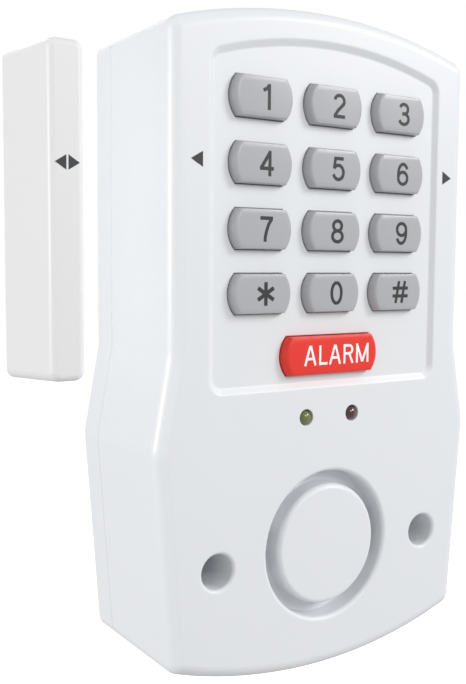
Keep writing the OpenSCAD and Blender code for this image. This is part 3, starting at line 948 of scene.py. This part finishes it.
def makeCover():
    lip = housing["seamLip"]
    rings = [(seamY, housingOutline(lip)), (seamY + lip * 0.65, housingOutline(lip * 0.35)),
             (seamY + lip, housingOutline()), (wallY - 0.3, housingOutline()), (wallY, housingOutline(0.3))]
    cover = lofted("back_shell", rings)
    low, high, wall, seat = bay["low"], bay["high"], bay["wall"], wallY - bay["doorDepth"]
    inner, room, cut = wallY - bay["plate"], housingOutline(housing["wall"]), coverHoles
    hollow = lofted("hollow", [(seamY - 1, room), (inner, room)])
    posts = [(cut["post"], at) for at in bothSides(bosses["case"])]
    posts += [(holes["tube"], at) for at in tubePlaces]
    for radius, at in posts:
        carve(hollow, rodTool(radius, seamY - 2, wallY, at))
    carve(cover, hollow)

    # the battery bay: its walls, its room, the ledge round its mouth and the door's seat
    carve(cover, blockTool((low[0] - wall, bay["frontY"] - wall, low[1] - wall),
                           (high[0] + wall, inner + 0.3, high[1] + wall), 0.6), "UNION")
    rim = bay["rim"]
    rooms = [(0, bay["frontY"], seat - bay["ledge"], 0.3), (rim, wallY - 3.2, wallY + 1, 0.3),
             (0, seat, wallY + 1, 0.5)]
    for inset, near, far, soft in rooms:
        carve(cover, blockTool((low[0] + inset, near, low[1]), (high[0] - inset, far, high[1]), soft))
    for at in bothSides(bosses["case"]):
        carve(cover, rodTool(cut["caseScrew"], seamY - 1, 1, at))
        carve(cover, backBore(cut["sinkRadius"], cut["sinkDepth"], at))
    for at in tubePlaces:
        carve(cover, backBore(cut["wallScrew"], 1 - seamY, at))
    for x in (-cut["leadX"], cut["leadX"]):
        near, far = cut["leadY"]
        wireHole = roundedBox((x - cut["leadHalf"], near), (x + cut["leadHalf"], far), 0.7)
        carve(cover, lofted("wire_hole", [(low[1] - 2, wireHole), (low[1] + 2, wireHole)], along="z"))
    tidyMesh(cover)
    return place(paint(cover, whiteAbs), unit, "housing_white", "back_cover")


makeCover()
print("back cover ready")


door = {"soft": 0.8, "edge": 0.35, "innerEdge": 0.15, "ribs": 5, "ribPitch": 1.9, "ribHalfWidth": 8.5,
        "ribRadius": 0.42, "ribDepth": 0.55, "ribTop": 4.5}


# the door's plate with a row of finger grooves across its upper end
def makeDoor():
    d, edge = door, door["edge"]

    def outline(inset):
        low = (doorLow.x + inset, doorLow.z + inset)
        return roundedBox(low, (doorHigh.x - inset, doorHigh.z - inset), d["soft"])

    rings = [(doorLow.y, outline(d["innerEdge"])), (doorLow.y + d["innerEdge"], outline(0)),
             (doorHigh.y - edge, outline(0)), (doorHigh.y - edge * 0.3, outline(edge * 0.3)),
             (doorHigh.y, outline(edge))]
    plate = lofted("battery_door_plate", rings)
    bar = strip([(-d["ribHalfWidth"], 0), (d["ribHalfWidth"], 0)], 2 * d["ribRadius"])
    ends = rounded(bar, [d["ribRadius"] * 0.95] * 4, 5)
    narrow = [(x * 0.95, z * 0.2) for x, z in ends]
    groove = lofted("groove", [(-d["ribDepth"], narrow), (0.0, ends), (0.5, ends)])
    rows = [(0, 0, doorHigh.z - d["ribTop"] - k * d["ribPitch"]) for k in range(d["ribs"])]
    cutAt(plate, whiteAbs, groove, rows)
    tidyMesh(plate)
    return place(paint(plate, whiteAbs), "battery_door", "housing_white", "battery_door")


makeDoor()
print("battery door ready")


cap = {"endRoll": 1.3, "edge": 0.22, "flange": 0.7, "flangeThick": 0.8, "plungerRadius": 2.5}


# a key whose front rolls over at both ends and has crisp long edges, with its flange and plunger
def keyCap(name, width, at):
    low, high = cadBox(name)
    roll, edge = cap["endRoll"], cap["edge"]
    rings = [(low.y + roll * depth, keyOutline(width, squeeze=roll * inset, pinch=edge * inset))
             for inset, depth in quarter(8)]
    flangeY = housing["insideY"] + 0.1
    flange = keyOutline(width, cap["flange"])
    rings += [(flangeY, keyOutline(width)), (flangeY, flange), (flangeY + cap["flangeThick"], flange)]
    bm = bmesh.new()
    loft(bm, rings)
    r, start = cap["plungerRadius"], flangeY + cap["flangeThick"] - 0.1
    lathe(bm, [(0, start), (r, start), (r, high.y - 0.2), (r - 0.2, high.y), (0, high.y)], (0, 0), 32)
    bmesh.ops.translate(bm, vec=(at[0], 0, at[1]), verts=bm.verts)
    return newPiece(name + "_cap", bm, 35), low.y


lettering = {
    "tall": 4.67,
    "line": 0.66,
    "starLine": 1.15,  # the star's strokes are this much wider than the rest
    "lift": 0.03,
    "shift": 0.5,
    "wordTall": 3.85,
    "wordLine": 0.5,
    "wordGap": 1.36,
    "wordX": 0.9,
    "tuck": 0.6,  # brings the letter after an L closer
}


# a closed oval as two strokes
def oval(centre, radii, start=-90):
    return [arc(centre, radii, turn, turn + 180) for turn in (start, start + 180)]


# the strokes of each sign, drawn as high as the lettering is tall, about its own middle
def signStrokes():
    top, foot = 2.33, -2.33
    signs = {
        "0": oval((0, 0), (1.22, 2.0)),
        "1": [[(0.35, foot), (0.35, top)], [(0.3, 2.0), (-0.15, 1.5), (-0.95, 1.12)]],
        "2": [arc((0, 0.93), (1.18, 1.08), 168, -28) + [(-0.35, -0.85), (-1.12, -1.9)],
              [(-1.42, -2.0), (1.42, -2.0)]],
        "3": [arc((-0.05, 1.04), (1.1, 0.97), 160, -90) + [(-0.5, 0.07)],
              [(-0.5, 0.1)] + arc((-0.02, -0.94), (1.28, 1.06), 90, -164)],
        "4": [[(0.62, foot), (0.62, top)], [(0.62, 2.02), (-1.3, -0.85)], [(-1.6, -0.92), (1.5, -0.92)]],
        "5": [[(-1.05, 2.0), (1.25, 2.0)], [(-0.78, 2.1), (-1.05, 0.05)],
              arc((-0.02, -0.64), (1.28, 1.37), 148, -162)],
        "6": oval((0, -0.8), (1.24, 1.22), 0) + [arc((0.08, 0.0), (1.32, 2.02), 32, 180) + [(-1.24, -0.8)]],
        "7": [[(-1.4, 2.0), (1.42, 2.0)],
              [(1.2, 1.95), (0.45, 0.85), (0.0, -0.4), (-0.25, -1.4), (-0.34, foot)]],
        "8": oval((0, 1.06), (1.05, 0.96)) + oval((0, -0.97), (1.25, 1.06)),
        "star": [[(0, -2.2), (0, 2.2)], [(-1.8, -1.1), (1.8, 1.1)], [(-1.8, 1.1), (1.8, -1.1)]],
        "hash": [[(x - 0.45, -2.25), (x + 0.45, 2.25)] for x in (-0.82, 0.82)]
                + [[(-2.1, z), (2.1, z)] for z in (-0.8, 0.8)],
        "A": [[(-1.55, foot), (-0.08, top)], [(1.55, foot), (0.08, top)], [(-1.05, -0.75), (1.05, -0.75)]],
        "L": [[(-1.0, foot), (-1.0, top)], [(-1.0, -2.0), (1.25, -2.0)]],
        "R": [[(-1.3, foot), (-1.3, top)],
              [(-1.3, 2.0)] + arc((0.15, 1.03), (1.0, 0.97), 90, -90) + [(-1.3, 0.06)],
              [(0.15, 0.1), (1.3, foot)]],
        "M": [[(-1.7, foot), (-1.7, top)], [(1.7, foot), (1.7, top)],
              [(-1.66, 2.1), (0, -2.1)], [(1.66, 2.1), (0, -2.1)]],
    }
    signs["9"] = [[(-x, -z) for x, z in stroke] for stroke in signs["6"]]
    return signs


# printed lettering: the strokes joined into one flat shape, as a thin closed mesh on a key's face
def printSign(name, strokes, line, at, faceY, ink, scale=1.0):
    verts, faces = [], []
    for stroke in strokes:
        outline = strip(stroke, line / scale)[::-1]
        faces.append(list(range(len(verts), len(verts) + len(outline))))
        verts += [Vector(p) for p in outline]
    flat, _, parts, _, _, sources = delaunay_2d_cdt(verts, [], faces, 0, 1e-5)
    kept = [part for part, source in zip(parts, sources) if source]
    bm = bmesh.new()
    front, back = [[bm.verts.new((at[0] + p.x * scale, faceY + lift, at[1] + p.y * scale)) for p in flat]
                   for lift in (-lettering["lift"], lettering["lift"])]
    sides = {(a, b) for part in kept for a, b in zip(part, part[1:] + part[:1])}
    for part in kept:
        bm.faces.new([front[i] for i in part])
        bm.faces.new([back[i] for i in reversed(part)])
    for a, b in sides:
        if (b, a) not in sides:
            bm.faces.new((front[b], front[a], back[a], back[b]))
    bmesh.ops.delete(bm, geom=[v for v in bm.verts if not v.link_faces], context="VERTS")
    return paint(newPiece(name, bm, 20), ink)


keySigns = [["1", "2", "3"], ["4", "5", "6"], ["7", "8", "9"], ["star", "0", "hash"]]


def makeKeys():
    signs = signStrokes()
    for z, row in zip(keys["rows"], keySigns):
        for x, sign in zip(keys["columns"], row):
            node = "key_" + sign
            piece, faceY = keyCap(node, keys["width"], (x, z))
            place(paint(piece, keyGrey), node, "key_grey", node)
            line = lettering["line"] * (lettering["starLine"] if sign == "star" else 1.0)
            middle = (x + lettering["shift"], z)
            mark = printSign("legend_" + sign, signs[sign], line, middle, faceY, darkInk)
            place(mark, node, "legend_dark")
    piece, faceY = keyCap("panic_key", keys["panicWidth"], (0, keys["panicZ"]))
    place(paint(piece, alarmRed), "panic_key", "panic_red", "panic_key")
    scale = lettering["wordTall"] / lettering["tall"]
    pen, strokes = 0.0, []
    for letter in "ALARM":
        xs = [x for stroke in signs[letter] for x, z in stroke]
        shift = pen - min(xs)
        strokes += [[(x + shift, z) for x, z in stroke] for stroke in signs[letter]]
        pen += max(xs) - min(xs) + lettering["wordGap"] - (lettering["tuck"] if letter == "L" else 0)
    half = (pen - lettering["wordGap"]) / 2
    centred = [[(x - half, z) for x, z in stroke] for stroke in strokes]
    middle = (lettering["wordX"], keys["panicZ"])
    word = printSign("legend_alarm", centred, lettering["wordLine"], middle, faceY, whiteInk, scale)
    place(word, "panic_key", "legend_white")


makeKeys()
print("keys ready")


dome = {"matFront": boardLow.y - 1.0, "front": boardLow.y - 2.7, "wide": 4.2, "narrow": 2.7, "wall": 0.5,
        "skirt": 3.95, "roof": 2.1, "seat": 4.0, "pill": 1.7, "pillThick": 0.4, "keep": 0.41}


# the silicone sheet, and on it one dome for each key
def makeDomes():
    d, matLow, matHigh = dome, *cadBox("dome_mat")
    back = boardLow.y
    corners = roundedBox((matLow.x, matLow.z), (matHigh.x, matHigh.z), 2.0, 6)
    sheet = lofted("dome_sheet", [(d["matFront"], corners), (back, corners)])
    seats = {"key_" + sign: (x, z) for x, column in zip(keys["columns"], zip(*keySigns))
             for z, sign in zip(keys["rows"], column)}
    seats["panic_key"] = (0.0, keys["panicZ"])
    hole = rodTool(d["seat"], d["matFront"] - 1, back + 1, (0, 0), 48)
    cutAt(sheet, domeRubber, hole, [(x, 0, z) for x, z in seats.values()])
    tidyMesh(sheet)
    place(sheet, unit, "dome_rubber", "dome_mat")
    inside = d["front"] + d["wall"]
    shape = rounded([(0, d["front"]), (d["narrow"], d["front"]), (d["wide"], d["matFront"]),
                     (d["skirt"], d["matFront"]), (d["roof"], inside), (0, inside)], [0, 0.5, 0, 0, 0.3, 0], 4)
    r, end = d["pill"], inside + d["pillThick"]
    pill = [(0, inside), (r, inside), (r, end - 0.1), (r - 0.1, end), (0, end)]
    for body, (x, z) in seats.items():
        piece = turned("dome_" + body, shape, (x, z), 40, 50)
        place(paint(piece, domeRubber), unit, "dome_rubber")
        foot = (x * mm, d["matFront"] * mm, z * mm)
        body + "_press"
        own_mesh(piece)
        piece = turned("pill_" + body, pill, (x, z), 32)
        place(paint(piece, carbon), body, "carbon_black", "contact_pills")


makeDomes()
print("dome mat ready")


# the round cap with its sound slots, cut by turned copies of one cutter
def makeSirenCap():
    s, wall, back = siren, siren["capWall"], capHigh.y
    r, flange, half = s["capRadius"], s["capFlange"], s["slotHalfAngle"]
    outer = rounded([(0, frontY), (r, frontY), (r, s["floorY"]), (flange, s["floorY"]), (flange, back),
                     (r - wall, back), (r - wall, frontY + wall), (0, frontY + wall)],
                    [0, s["rimRound"], 0.35, 0.2, 0, 0, 0.8, 0], steps=6)
    piece = turned("siren_disc", outer, (0, s["z"]), 144, 35)
    slot = arc((0, 0), (s["slotOuter"],) * 2, -half, half) + arc((0, 0), (s["slotInner"],) * 2, half, -half)
    cutter = lofted("slot", [(s["floorY"] - 0.5, slot), (back + 0.5, slot)])
    cutAt(piece, whiteAbs, cutter, [(0, 0, s["z"])] * 2, [(0, 0, 0), (0, math.pi, 0)])
    tidyMesh(piece, 35)
    return place(paint(piece, whiteAbs), unit, "housing_white", "siren_cap")


# an indicator: its domed lens with a flange, and two pins
def makeLight(node, x, coat):
    low, high = cadBox(node)
    r, base, pinHalf, z = lights["radius"], boardLow.y - lights["standOff"], lights["pinHalf"], lights["z"]
    flange, step = lights["flange"], base - lights["flangeThick"]
    profile = [(r * (1 - inset), low.y + r * depth) for inset, depth in quarter(12)]
    profile += [(r, step), (flange, step), (flange, base), (0, base)]
    place(paint(turned(node + "_lens", profile, (x, z), 48, 45), coat), unit, node, node)
    bm = bmesh.new()
    for side in (-lights["pinSpread"], lights["pinSpread"]):
        pin = roundedBox((x + side - pinHalf, z - pinHalf), (x + side + pinHalf, z + pinHalf), 0.05, 2)
        loft(bm, [(base, pin), (high.y, pin)])
    tinned(newPiece(node + "_pins", bm))


# a printed arrow at a tip, a foot and half its height: a thin closed prism
def arrowMark(name, tip, foot, half, z, faceY, body):
    points, lift = [(tip, z), (foot, z + half), (foot, z - half)], lettering["lift"]
    piece = lofted(name, [(faceY - lift, points), (faceY + lift, points)])
    return place(paint(piece, darkInk), body, "legend_dark")


makeSirenCap()
makeLight("led_green", -lights["x"], castEpoxy("green_epoxy", (0.17, 0.215, 0.03), (0.08, 0.11, 0.015)))
makeLight("led_red", lights["x"], castEpoxy("red_epoxy", (0.1, 0.01, 0.018), (0.045, 0.006, 0.01)))
arrow = {"tip": 32.3, "foot": 29.8, "halfTall": 1.4}
for side, label in ((-1, "arrow_left"), (1, "arrow_right")):
    arrowMark(label, side * arrow["tip"], side * arrow["foot"], arrow["halfTall"], markZ, frontY, unit)
print("siren cap, lights and arrows ready")


magnetLow, magnetHigh = cadBox("magnet_case")
magnet = {"round": 1.3, "cornerRound": 1.8, "wall": 1.3, "draft": 1.4, "markZ": 74.4,
          "foot": 0.25, "arrowTip": 2.3, "arrowFoot": 0.2, "arrowHalf": 1.3}


def makeMagnet():
    m, low, high = magnet, magnetLow, magnetHigh
    centre = (low + high) / 2
    r = m["round"]

    def outline(inset, y=0.0, draft=m["draft"]):
        slope = draft * min(1.0, (high.y - y) / (high.y - low.y - r))
        x, z = (high.x - low.x) / 2 - inset, (high.z - low.z) / 2 - inset - slope
        corner = max(m["cornerRound"] - inset, 0.3)
        return [(centre.x + a, centre.z + b) for a, b in roundedBox((-x, -z), (x, z), corner, 8)]

    rings = [(low.y + r * depth, outline(r * inset, low.y + r * depth)) for inset, depth in quarter(8)]
    rings += [(-m["foot"], outline(0, -m["foot"])), (0, outline(m["foot"]))]
    piece = lofted("magnet_shell", rings, 35)
    stretch = 1 + 2 * m["draft"] / (high.x - low.x - 2 * m["wall"] - 2 * m["draft"])
    room = [(centre.x + (x - centre.x) * stretch, z) for x, z in outline(m["wall"] + m["draft"], 0, 0)]
    carve(piece, lofted("room", [(low.y + m["wall"], room), (1, room)]))
    tidyMesh(piece)
    place(paint(piece, shadedMagnetAbs), "magnet_piece", "housing_white", "magnet_case")
    arrows = []
    for side, label in ((-1, "magnet_arrow_left"), (1, "magnet_arrow_right")):
        tip, foot = centre.x + side * m["arrowTip"], centre.x + side * m["arrowFoot"]
        arrows.append(arrowMark(label, tip, foot, m["arrowHalf"], m["markZ"], low.y, "magnet_piece"))
    return [piece] + arrows


magnetPieces = makeMagnet()
print("magnet piece ready")


cell = {"nub": 2.7, "nubTall": 1.3, "edge": 0.7, "crimp": 0.22, "crimpAt": 3.2, "footHole": 3.6,
        "topHole": 4.4, "band": 12.0, "ink": (0.028, 0.03, 0.035), "bandInk": (0.72, 0.38, 0.16)}


# one cell along Z: the sleeve over the can, the positive nub and the crimped negative end
def makeCell(number):
    node = "battery_cell_%d" % number
    low, high = cadBox(node)
    up = number % 2 == 1
    centre = ((low.x + high.x) / 2, (low.y + high.y) / 2)
    c, tall, r, crimp = cell, high.z - low.z, (high.x - low.x) / 2, cell["crimpAt"]
    shoulder = tall - c["nubTall"]
    sleeve = rounded([(c["footHole"], 0.05), (r, 0.05), (r, crimp), (r - c["crimp"], crimp + 0.5),
                      (r, crimp + 1.0), (r, shoulder), (c["topHole"], shoulder)],
                     [0, c["edge"], 0.3, 0.3, 0.3, c["edge"], 0], 5)
    inner = [(c["topHole"], shoulder - 0.3), (c["topHole"] - 0.2, tall / 2), (c["footHole"], 0.4)]
    can = rounded([(0, 0), (3.5, 0), (3.5, shoulder - 0.2), (c["nub"], shoulder - 0.1),
                   (c["nub"], tall), (0, tall)], [0, 0.3, 0.1, 0, 0.5, 0], 5)
    band = (high.z - c["nubTall"] - c["band"], high.z) if up else (low.z, low.z + c["nubTall"] + c["band"])

    def turnedCell(label, profile, ring):
        placed = [(radius, low.z + h if up else high.z - h) for radius, h in profile]
        return turned("%s_%d" % (label, number), placed, centre, 56, 40, ring, "z")

    coat = cellSleeve("cell_print_%d" % number, c["ink"], c["bandInk"], *band)
    place(paint(turnedCell("cell_sleeve", sleeve + inner, True), coat), unit, "cell_jacket", node)
    tinned(turnedCell("cell_can", can, False))
    return centre[0], centre[1], low.z, high.z, up


cells = [makeCell(n) for n in (1, 2, 3, 4)]
print("cells ready")


spring = {"wire": 0.35, "wide": 4.4, "narrow": 2.8, "turns": 3.5, "tall": 4.0, "gap": 0.02}


# a cone spring under each cell's flat end
def makeSprings():
    s, plate = spring, 0.4
    lowZ, highZ = bay["low"][1] + plate, bay["high"][1] - plate
    rise = s["gap"] + s["wire"]
    places = [(x, y, lowZ + rise if up else highZ - rise) for x, y, _, _, up in cells]
    turns = [(0, 0, 0) if up else (math.pi, 0, 0) for *_, up in cells]
    spots = pointsPiece("cone_springs", places, turns)
    runTree(spots, winding, Wire=s["wire"] * mm, Start=s["wide"] * mm, End=s["narrow"] * mm,
            Tall=(s["tall"] - 2 * rise) * mm, Turns=s["turns"], Finish=springSteel)
    place(spots, unit, "contact_steel", "contact_springs")


contact = {"half": 5.5, "thick": 0.4, "soft": 1.6, "edge": 0.1}


# stamped plates: pairs that join two cells, and single ones that take the leads
def makePlates():
    c, x, y, edge = contact, [spec[0] for spec in cells], cells[0][1], contact["edge"]

    def outline(left, right, inset):
        reach = c["half"] - inset
        return roundedBox((left - reach, y - reach), (right + reach, y + reach), c["soft"] - inset, 5)

    low, high = bay["low"][1], bay["high"][1]
    spans = [(x[0], x[1], high - c["thick"]), (x[2], x[3], high - c["thick"]),
             (x[0], x[0], low), (x[1], x[2], low), (x[3], x[3], low)]
    bm = bmesh.new()
    for left, right, z in spans:
        outer, inner, end = outline(left, right, 0), outline(left, right, edge), z + c["thick"]
        loft(bm, [(z, inner), (z + edge, outer), (end - edge, outer), (end, inner)], "z")
    tinned(newPiece("stamped_plates", bm), "contact_plates")


# an insulated wire along a line of points
def makeWire(name, points, radius, bend, coat, *nodes):
    wire = pointsPiece(name, points, joined=True)
    runTree(wire, wiring, Radius=radius * mm, Bend=bend * mm, Finish=coat)
    return place(wire, unit, "lead_red", *nodes)


leads = {
    "battery": (0.6, 1.2),  # radius, and radius of the bends
    "siren": (0.5, 1.0),
    "drop": 4.5,
    "spread": 1.5,
    "discTop": 7,
    "discY": -20.45,
    "outY": -18.3,
    "bendY": -20,
    "boardZ": 23.6,
}


# two leads from the end cells and two from the piezo disc, all of them to the board
def makeLeads():
    back, y, z, top = boardHigh.y, cells[0][1] - 3, bay["low"][1], siren["z"] + leads["discTop"]
    low, outY, bendY, endZ = z - leads["drop"], leads["outY"], leads["bendY"], leads["boardZ"]
    for side, coat, label in ((-1, redWire, "red"), (1, blackWire, "black")):
        x = side * cells[3][0]
        route = [(x, y, z), (x, y, z - 3), (x, y - 1.5, low), (x, bendY, low), (x, back, low)]
        makeWire("battery_lead_" + label, route, *leads["battery"], coat, "battery_leads")
        x = side * leads["spread"]
        route = [(x, leads["discY"], top), (x, outY - 1, top), (x, outY, top + 1.5), (x, outY, top + 11.6),
                 (x, bendY, endZ), (x, back, endZ)]
        makeWire("siren_lead_" + label, route, *leads["siren"], coat, "siren_leads")


makeSprings()
makePlates()
makeLeads()
print("battery contacts and leads ready")


screw = {"shank": 1.02, "pitch": 0.9, "thread": 0.24}
screwSets = {
    # head's radius and height, length under the head, head's underside along Y, places
    "case_screws": (2.5, 1.6, 15.0, -3.0, bothSides(bosses["case"])),
    "board_screws": (2.2, 1.4, 5.0, boardHigh.y, bothSides(bosses["board"])),
    "siren_screws": (2.2, 1.4, 4.5, siren["floorY"] + 3.2, bosses["siren"]),
}


# pan heads with a cross recess; the tree adds the thread and sets them in their places
def makeScrews():
    for node, (head, tall, length, seat, places) in screwSets.items():
        shank = screw["shank"]
        profile = rounded([(0, tall), (head * 0.72, tall), (head, tall * 0.45), (head, 0), (shank, 0),
                           (shank, -length + 1.2), (0.15, -length), (0, -length)],
                          [0, head * 0.3, tall * 0.3, 0.1, 0.1, 0, 0, 0], 4)
        body = turned("screw", profile, (0, 0), 40, along="z")
        for size in ((head * 0.62, 0.28), (0.28, head * 0.62)):
            cross = roundedBox((-size[0], -size[1]), size, 0.12, 2)
            narrow = [(x * 0.6, y * 0.6) for x, y in cross]
            carve(body, lofted("slot", [(tall - 0.9, narrow), (tall + 0.5, cross)], along="z"))
        spots = pointsPiece(node + "_set", [(x, seat, z) for x, z in places], [toBack] * len(places))
        runTree(spots, screwing, Body=body, Radius=shank * mm, Length=(length - 1.2) * mm,
                Pitch=screw["pitch"] * mm, Thread=screw["thread"] * mm, Finish=screwZinc)
        drop(body)
        place(spots, unit, "screw_steel", node)


makeScrews()
print("screws ready")


chip = {"half": 5.0, "lowZ": 59.0, "highZ": 66.5, "legs": 7, "pitch": 1.3, "legWide": 0.4, "draft": 0.25}


# the microcontroller: a tapered body with a dimple, and gull-wing legs in two rows
def makeController():
    c, back = chip, boardHigh.y
    top, seat = back + 2.3, back + 0.3

    def outline(inset):
        x = c["half"] - inset
        return roundedBox((-x, c["lowZ"] + inset), (x, c["highZ"] - inset), 0.2, 2)

    rings = [(seat, outline(c["draft"])), ((seat + top) / 2, outline(0)), (top, outline(c["draft"]))]
    body = lofted("controller_body", rings, 25)
    carve(body, rodTool(0.55, top - 0.15, top + 0.5, (-c["half"] + 1.3, c["highZ"] - 1.3), 24))
    place(paint(body, chipBlack), unit, "chip_black", "microcontroller")
    reach, middle = (c["highZ"] - c["lowZ"]) / 2, (c["highZ"] + c["lowZ"]) / 2
    wing = strip([(reach - 0.3, 1.3), (reach + 0.45, 1.3), (reach + 0.65, 1.1), (reach + 0.75, 0.25),
                  (reach + 0.9, 0.1), (reach + 1.5, 0.1)], 0.18)
    bm = bmesh.new()
    sides = [[bm.verts.new((x, y, z)) for z, y in wing] for x in (-c["legWide"] / 2, c["legWide"] / 2)]
    for k in range(len(wing)):
        n = (k + 1) % len(wing)
        bm.faces.new((sides[0][k], sides[0][n], sides[1][n], sides[1][k]))
    bm.faces.new(sides[0])
    bm.faces.new(sides[1][::-1])
    leg = newPiece("leg", bm)
    row = [-(c["legs"] - 1) / 2 * c["pitch"] + n * c["pitch"] for n in range(c["legs"])]
    places = [(x, back, middle) for x in row] * 2
    turns = [(0, 0, 0)] * len(row) + [(0, math.pi, 0)] * len(row)
    spots = pointsPiece("controller_legs", places, turns)
    runTree(spots, copying, Part=leg, Finish=tinPlate)
    drop(leg)
    place(spots, unit, "contact_steel")


smallParts = {
    "chipSize": (2.0, 0.6, 1.2),
    "chipRows": [[(-21 + 4 * n, 46.6) for n in range(6)], [(13 + 4 * n, 70.6) for n in range(4)]],
    "crystal": ((-21.0, 60.0), (-12.0, 64.0), 3.0, 0.3),
    "capacitor": ((-14.0, 28.0), 3.0, 7.0),
    "buffer": ((1.0, 28.0), 2.3, 4.0),
    "coil": ((14.0, 28.0), 2.8, 4.5, 1.0, 7.0, 0.17, 16.0),
}


# chips with tinned ends, the crystal's can, two capacitors and the siren's coil
def makeSmallParts():
    s, back = smallParts, boardHigh.y
    wide, tall, deep = s["chipSize"]
    places = [(x, back, z) for row in s["chipRows"] for x, z in row]
    inner = roundedBox((-wide / 2 + 0.35, -deep / 2 + 0.03), (wide / 2 - 0.35, deep / 2 - 0.03), 0.05, 2)
    middle = lofted("chip", [(0.02, inner), (tall - 0.03, inner)])
    bodies = runTree(pointsPiece("chip_bodies", places), copying, Part=middle, Finish=componentTan)
    place(bodies, unit, "component_tan", "board_parts")
    bm = bmesh.new()
    for side in (-1, 1):
        a, b = sorted((side * wide / 2, side * (wide / 2 - 0.36)))
        end = roundedBox((a, -deep / 2), (b, deep / 2), 0.08, 3)
        loft(bm, [(0, end), (tall, end)])
    ends = newPiece("chip_end", bm)
    caps = runTree(pointsPiece("chip_ends", places), copying, Part=ends, Finish=tinPlate)
    place(caps, unit, "contact_steel")
    drop(middle, ends)

    low, high, height, edge = s["crystal"]
    can = roundedBox(low, high, 1.9, 8)
    brim = [(x + (edge if x > (low[0] + high[0]) / 2 else -edge), z) for x, z in can]
    lid = roundedBox((low[0] + edge, low[1] + edge), (high[0] - edge, high[1] - edge), 1.6, 8)
    tinned(lofted("crystal_can", [(back, brim), (back + 0.35, brim), (back + 0.4, can),
                                  (back + height - edge, can), (back + height, lid)]))

    for name, coat in (("capacitor", canSleeve), ("buffer", chipBlack)):
        at, r, height = s[name]
        profile = rounded([(0, back), (r, back), (r, back + 1.2), (r - 0.25, back + 1.5), (r, back + 1.8),
                           (r, back + height), (r - 0.7, back + height), (r - 0.8, back + height - 0.15),
                           (0, back + height - 0.15)], [0, 0.2, 0.15, 0.15, 0.15, 0.25, 0, 0, 0], 3)
        place(paint(turned(name + "_can", profile, at, 48), coat), unit, "chip_black")

    at, inside, outside, rim, height, wire, turns = s["coil"]
    bobbin = rounded([(0, back), (outside, back), (outside, back + rim), (inside, back + rim),
                      (inside, back + height), (outside, back + height), (outside, back + height + rim),
                      (0, back + height + rim)], [0, 0.2, 0.2, 0, 0, 0.2, 0.2, 0], 3)
    place(paint(turned("coil_core", bobbin, at, 56), ferrite), unit, "ferrite_dark", "step_up_coil")
    spots = pointsPiece("coil_winding", [(at[0], back + rim + wire, at[1])] * 2, [toBack] * 2)
    for layer, item in enumerate(spots.data.vertices):
        item.co.y += layer * 0.1 * mm
    runTree(spots, winding, Wire=wire * mm, Start=(inside + wire) * mm, End=(inside + 0.5) * mm,
            Tall=(height - rim - 3 * wire) * mm, Turns=turns, Finish=copper)
    place(spots, unit, "sounder_brass")


makeController()
makeSmallParts()
print("circuit board's parts ready")


reed = {"x": 29.8, "standOff": 1.3, "radius": 1.1, "length": 14.0, "blade": 0.12, "bladeWide": 0.9,
        "bladeShift": 0.14, "overlap": 0.8, "lead": 0.3, "leadAt": 6.6, "bendAt": 8}


# a glass tube with two springy blades whose ends overlap, and its bent leads
def makeReed(node, side):
    r, back = reed, boardHigh.y
    x, y = side * r["x"], back + r["standOff"]
    half = r["length"] / 2
    outside = rounded([(0, -half), (r["radius"], -half), (r["radius"], half), (0, half)],
                      [0, r["radius"] * 0.9, r["radius"] * 0.9, 0], 6)
    tube = turned(node + "_tube", [(radius, markZ + h) for radius, h in outside], (x, y), 36, 60, along="z")
    place(paint(tube, reedGlass), unit, "reed_glass", node)
    bm = bmesh.new()
    wide, thick = r["bladeWide"] / 2, r["blade"] / 2
    for end in (-1, 1):
        middle = y + end * r["bladeShift"]
        blade = roundedBox((x - wide, middle - thick), (x + wide, middle + thick), 0.03, 2)
        heights = sorted((markZ - end * r["overlap"], markZ + end * (half - 0.3)))
        loft(bm, [(h, blade) for h in heights], "z")
    tinned(newPiece(node + "_blades", bm))
    for end, label in ((-1, "low"), (1, "high")):
        z = markZ + end * r["bendAt"]
        route = [(x, y, markZ + end * r["leadAt"]), (x, y, z), (x, back, z)]
        lead = pointsPiece(node + "_lead_" + label, route, joined=True)
        runTree(lead, wiring, Radius=r["lead"] * mm, Bend=0.7 * mm, Finish=tinPlate)
        place(lead, unit, "contact_steel")


makeReed("reed_switch_left", -1)
makeReed("reed_switch_right", 1)
print("reed switches ready")


# the CAD parts that stay as they are, each with its finish
keptFinishes = {
    "circuit_board": boardGreen,
    "siren_chamber": chamberGrey,
    "piezo_disc": brass,
    "piezo_ceramic": piezoWhite,
    "magnet_base": shadedMagnetAbs,
    "bar_magnet": magnetBlack,
    "magnet_pad": padFoam,
}
for node, coat in keptFinishes.items():
    paint(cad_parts[node], coat)
print("kept parts painted")

seePast("side_lamp", magnetPieces + [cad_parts[n] for n in ("magnet_base", "bar_magnet", "magnet_pad")])
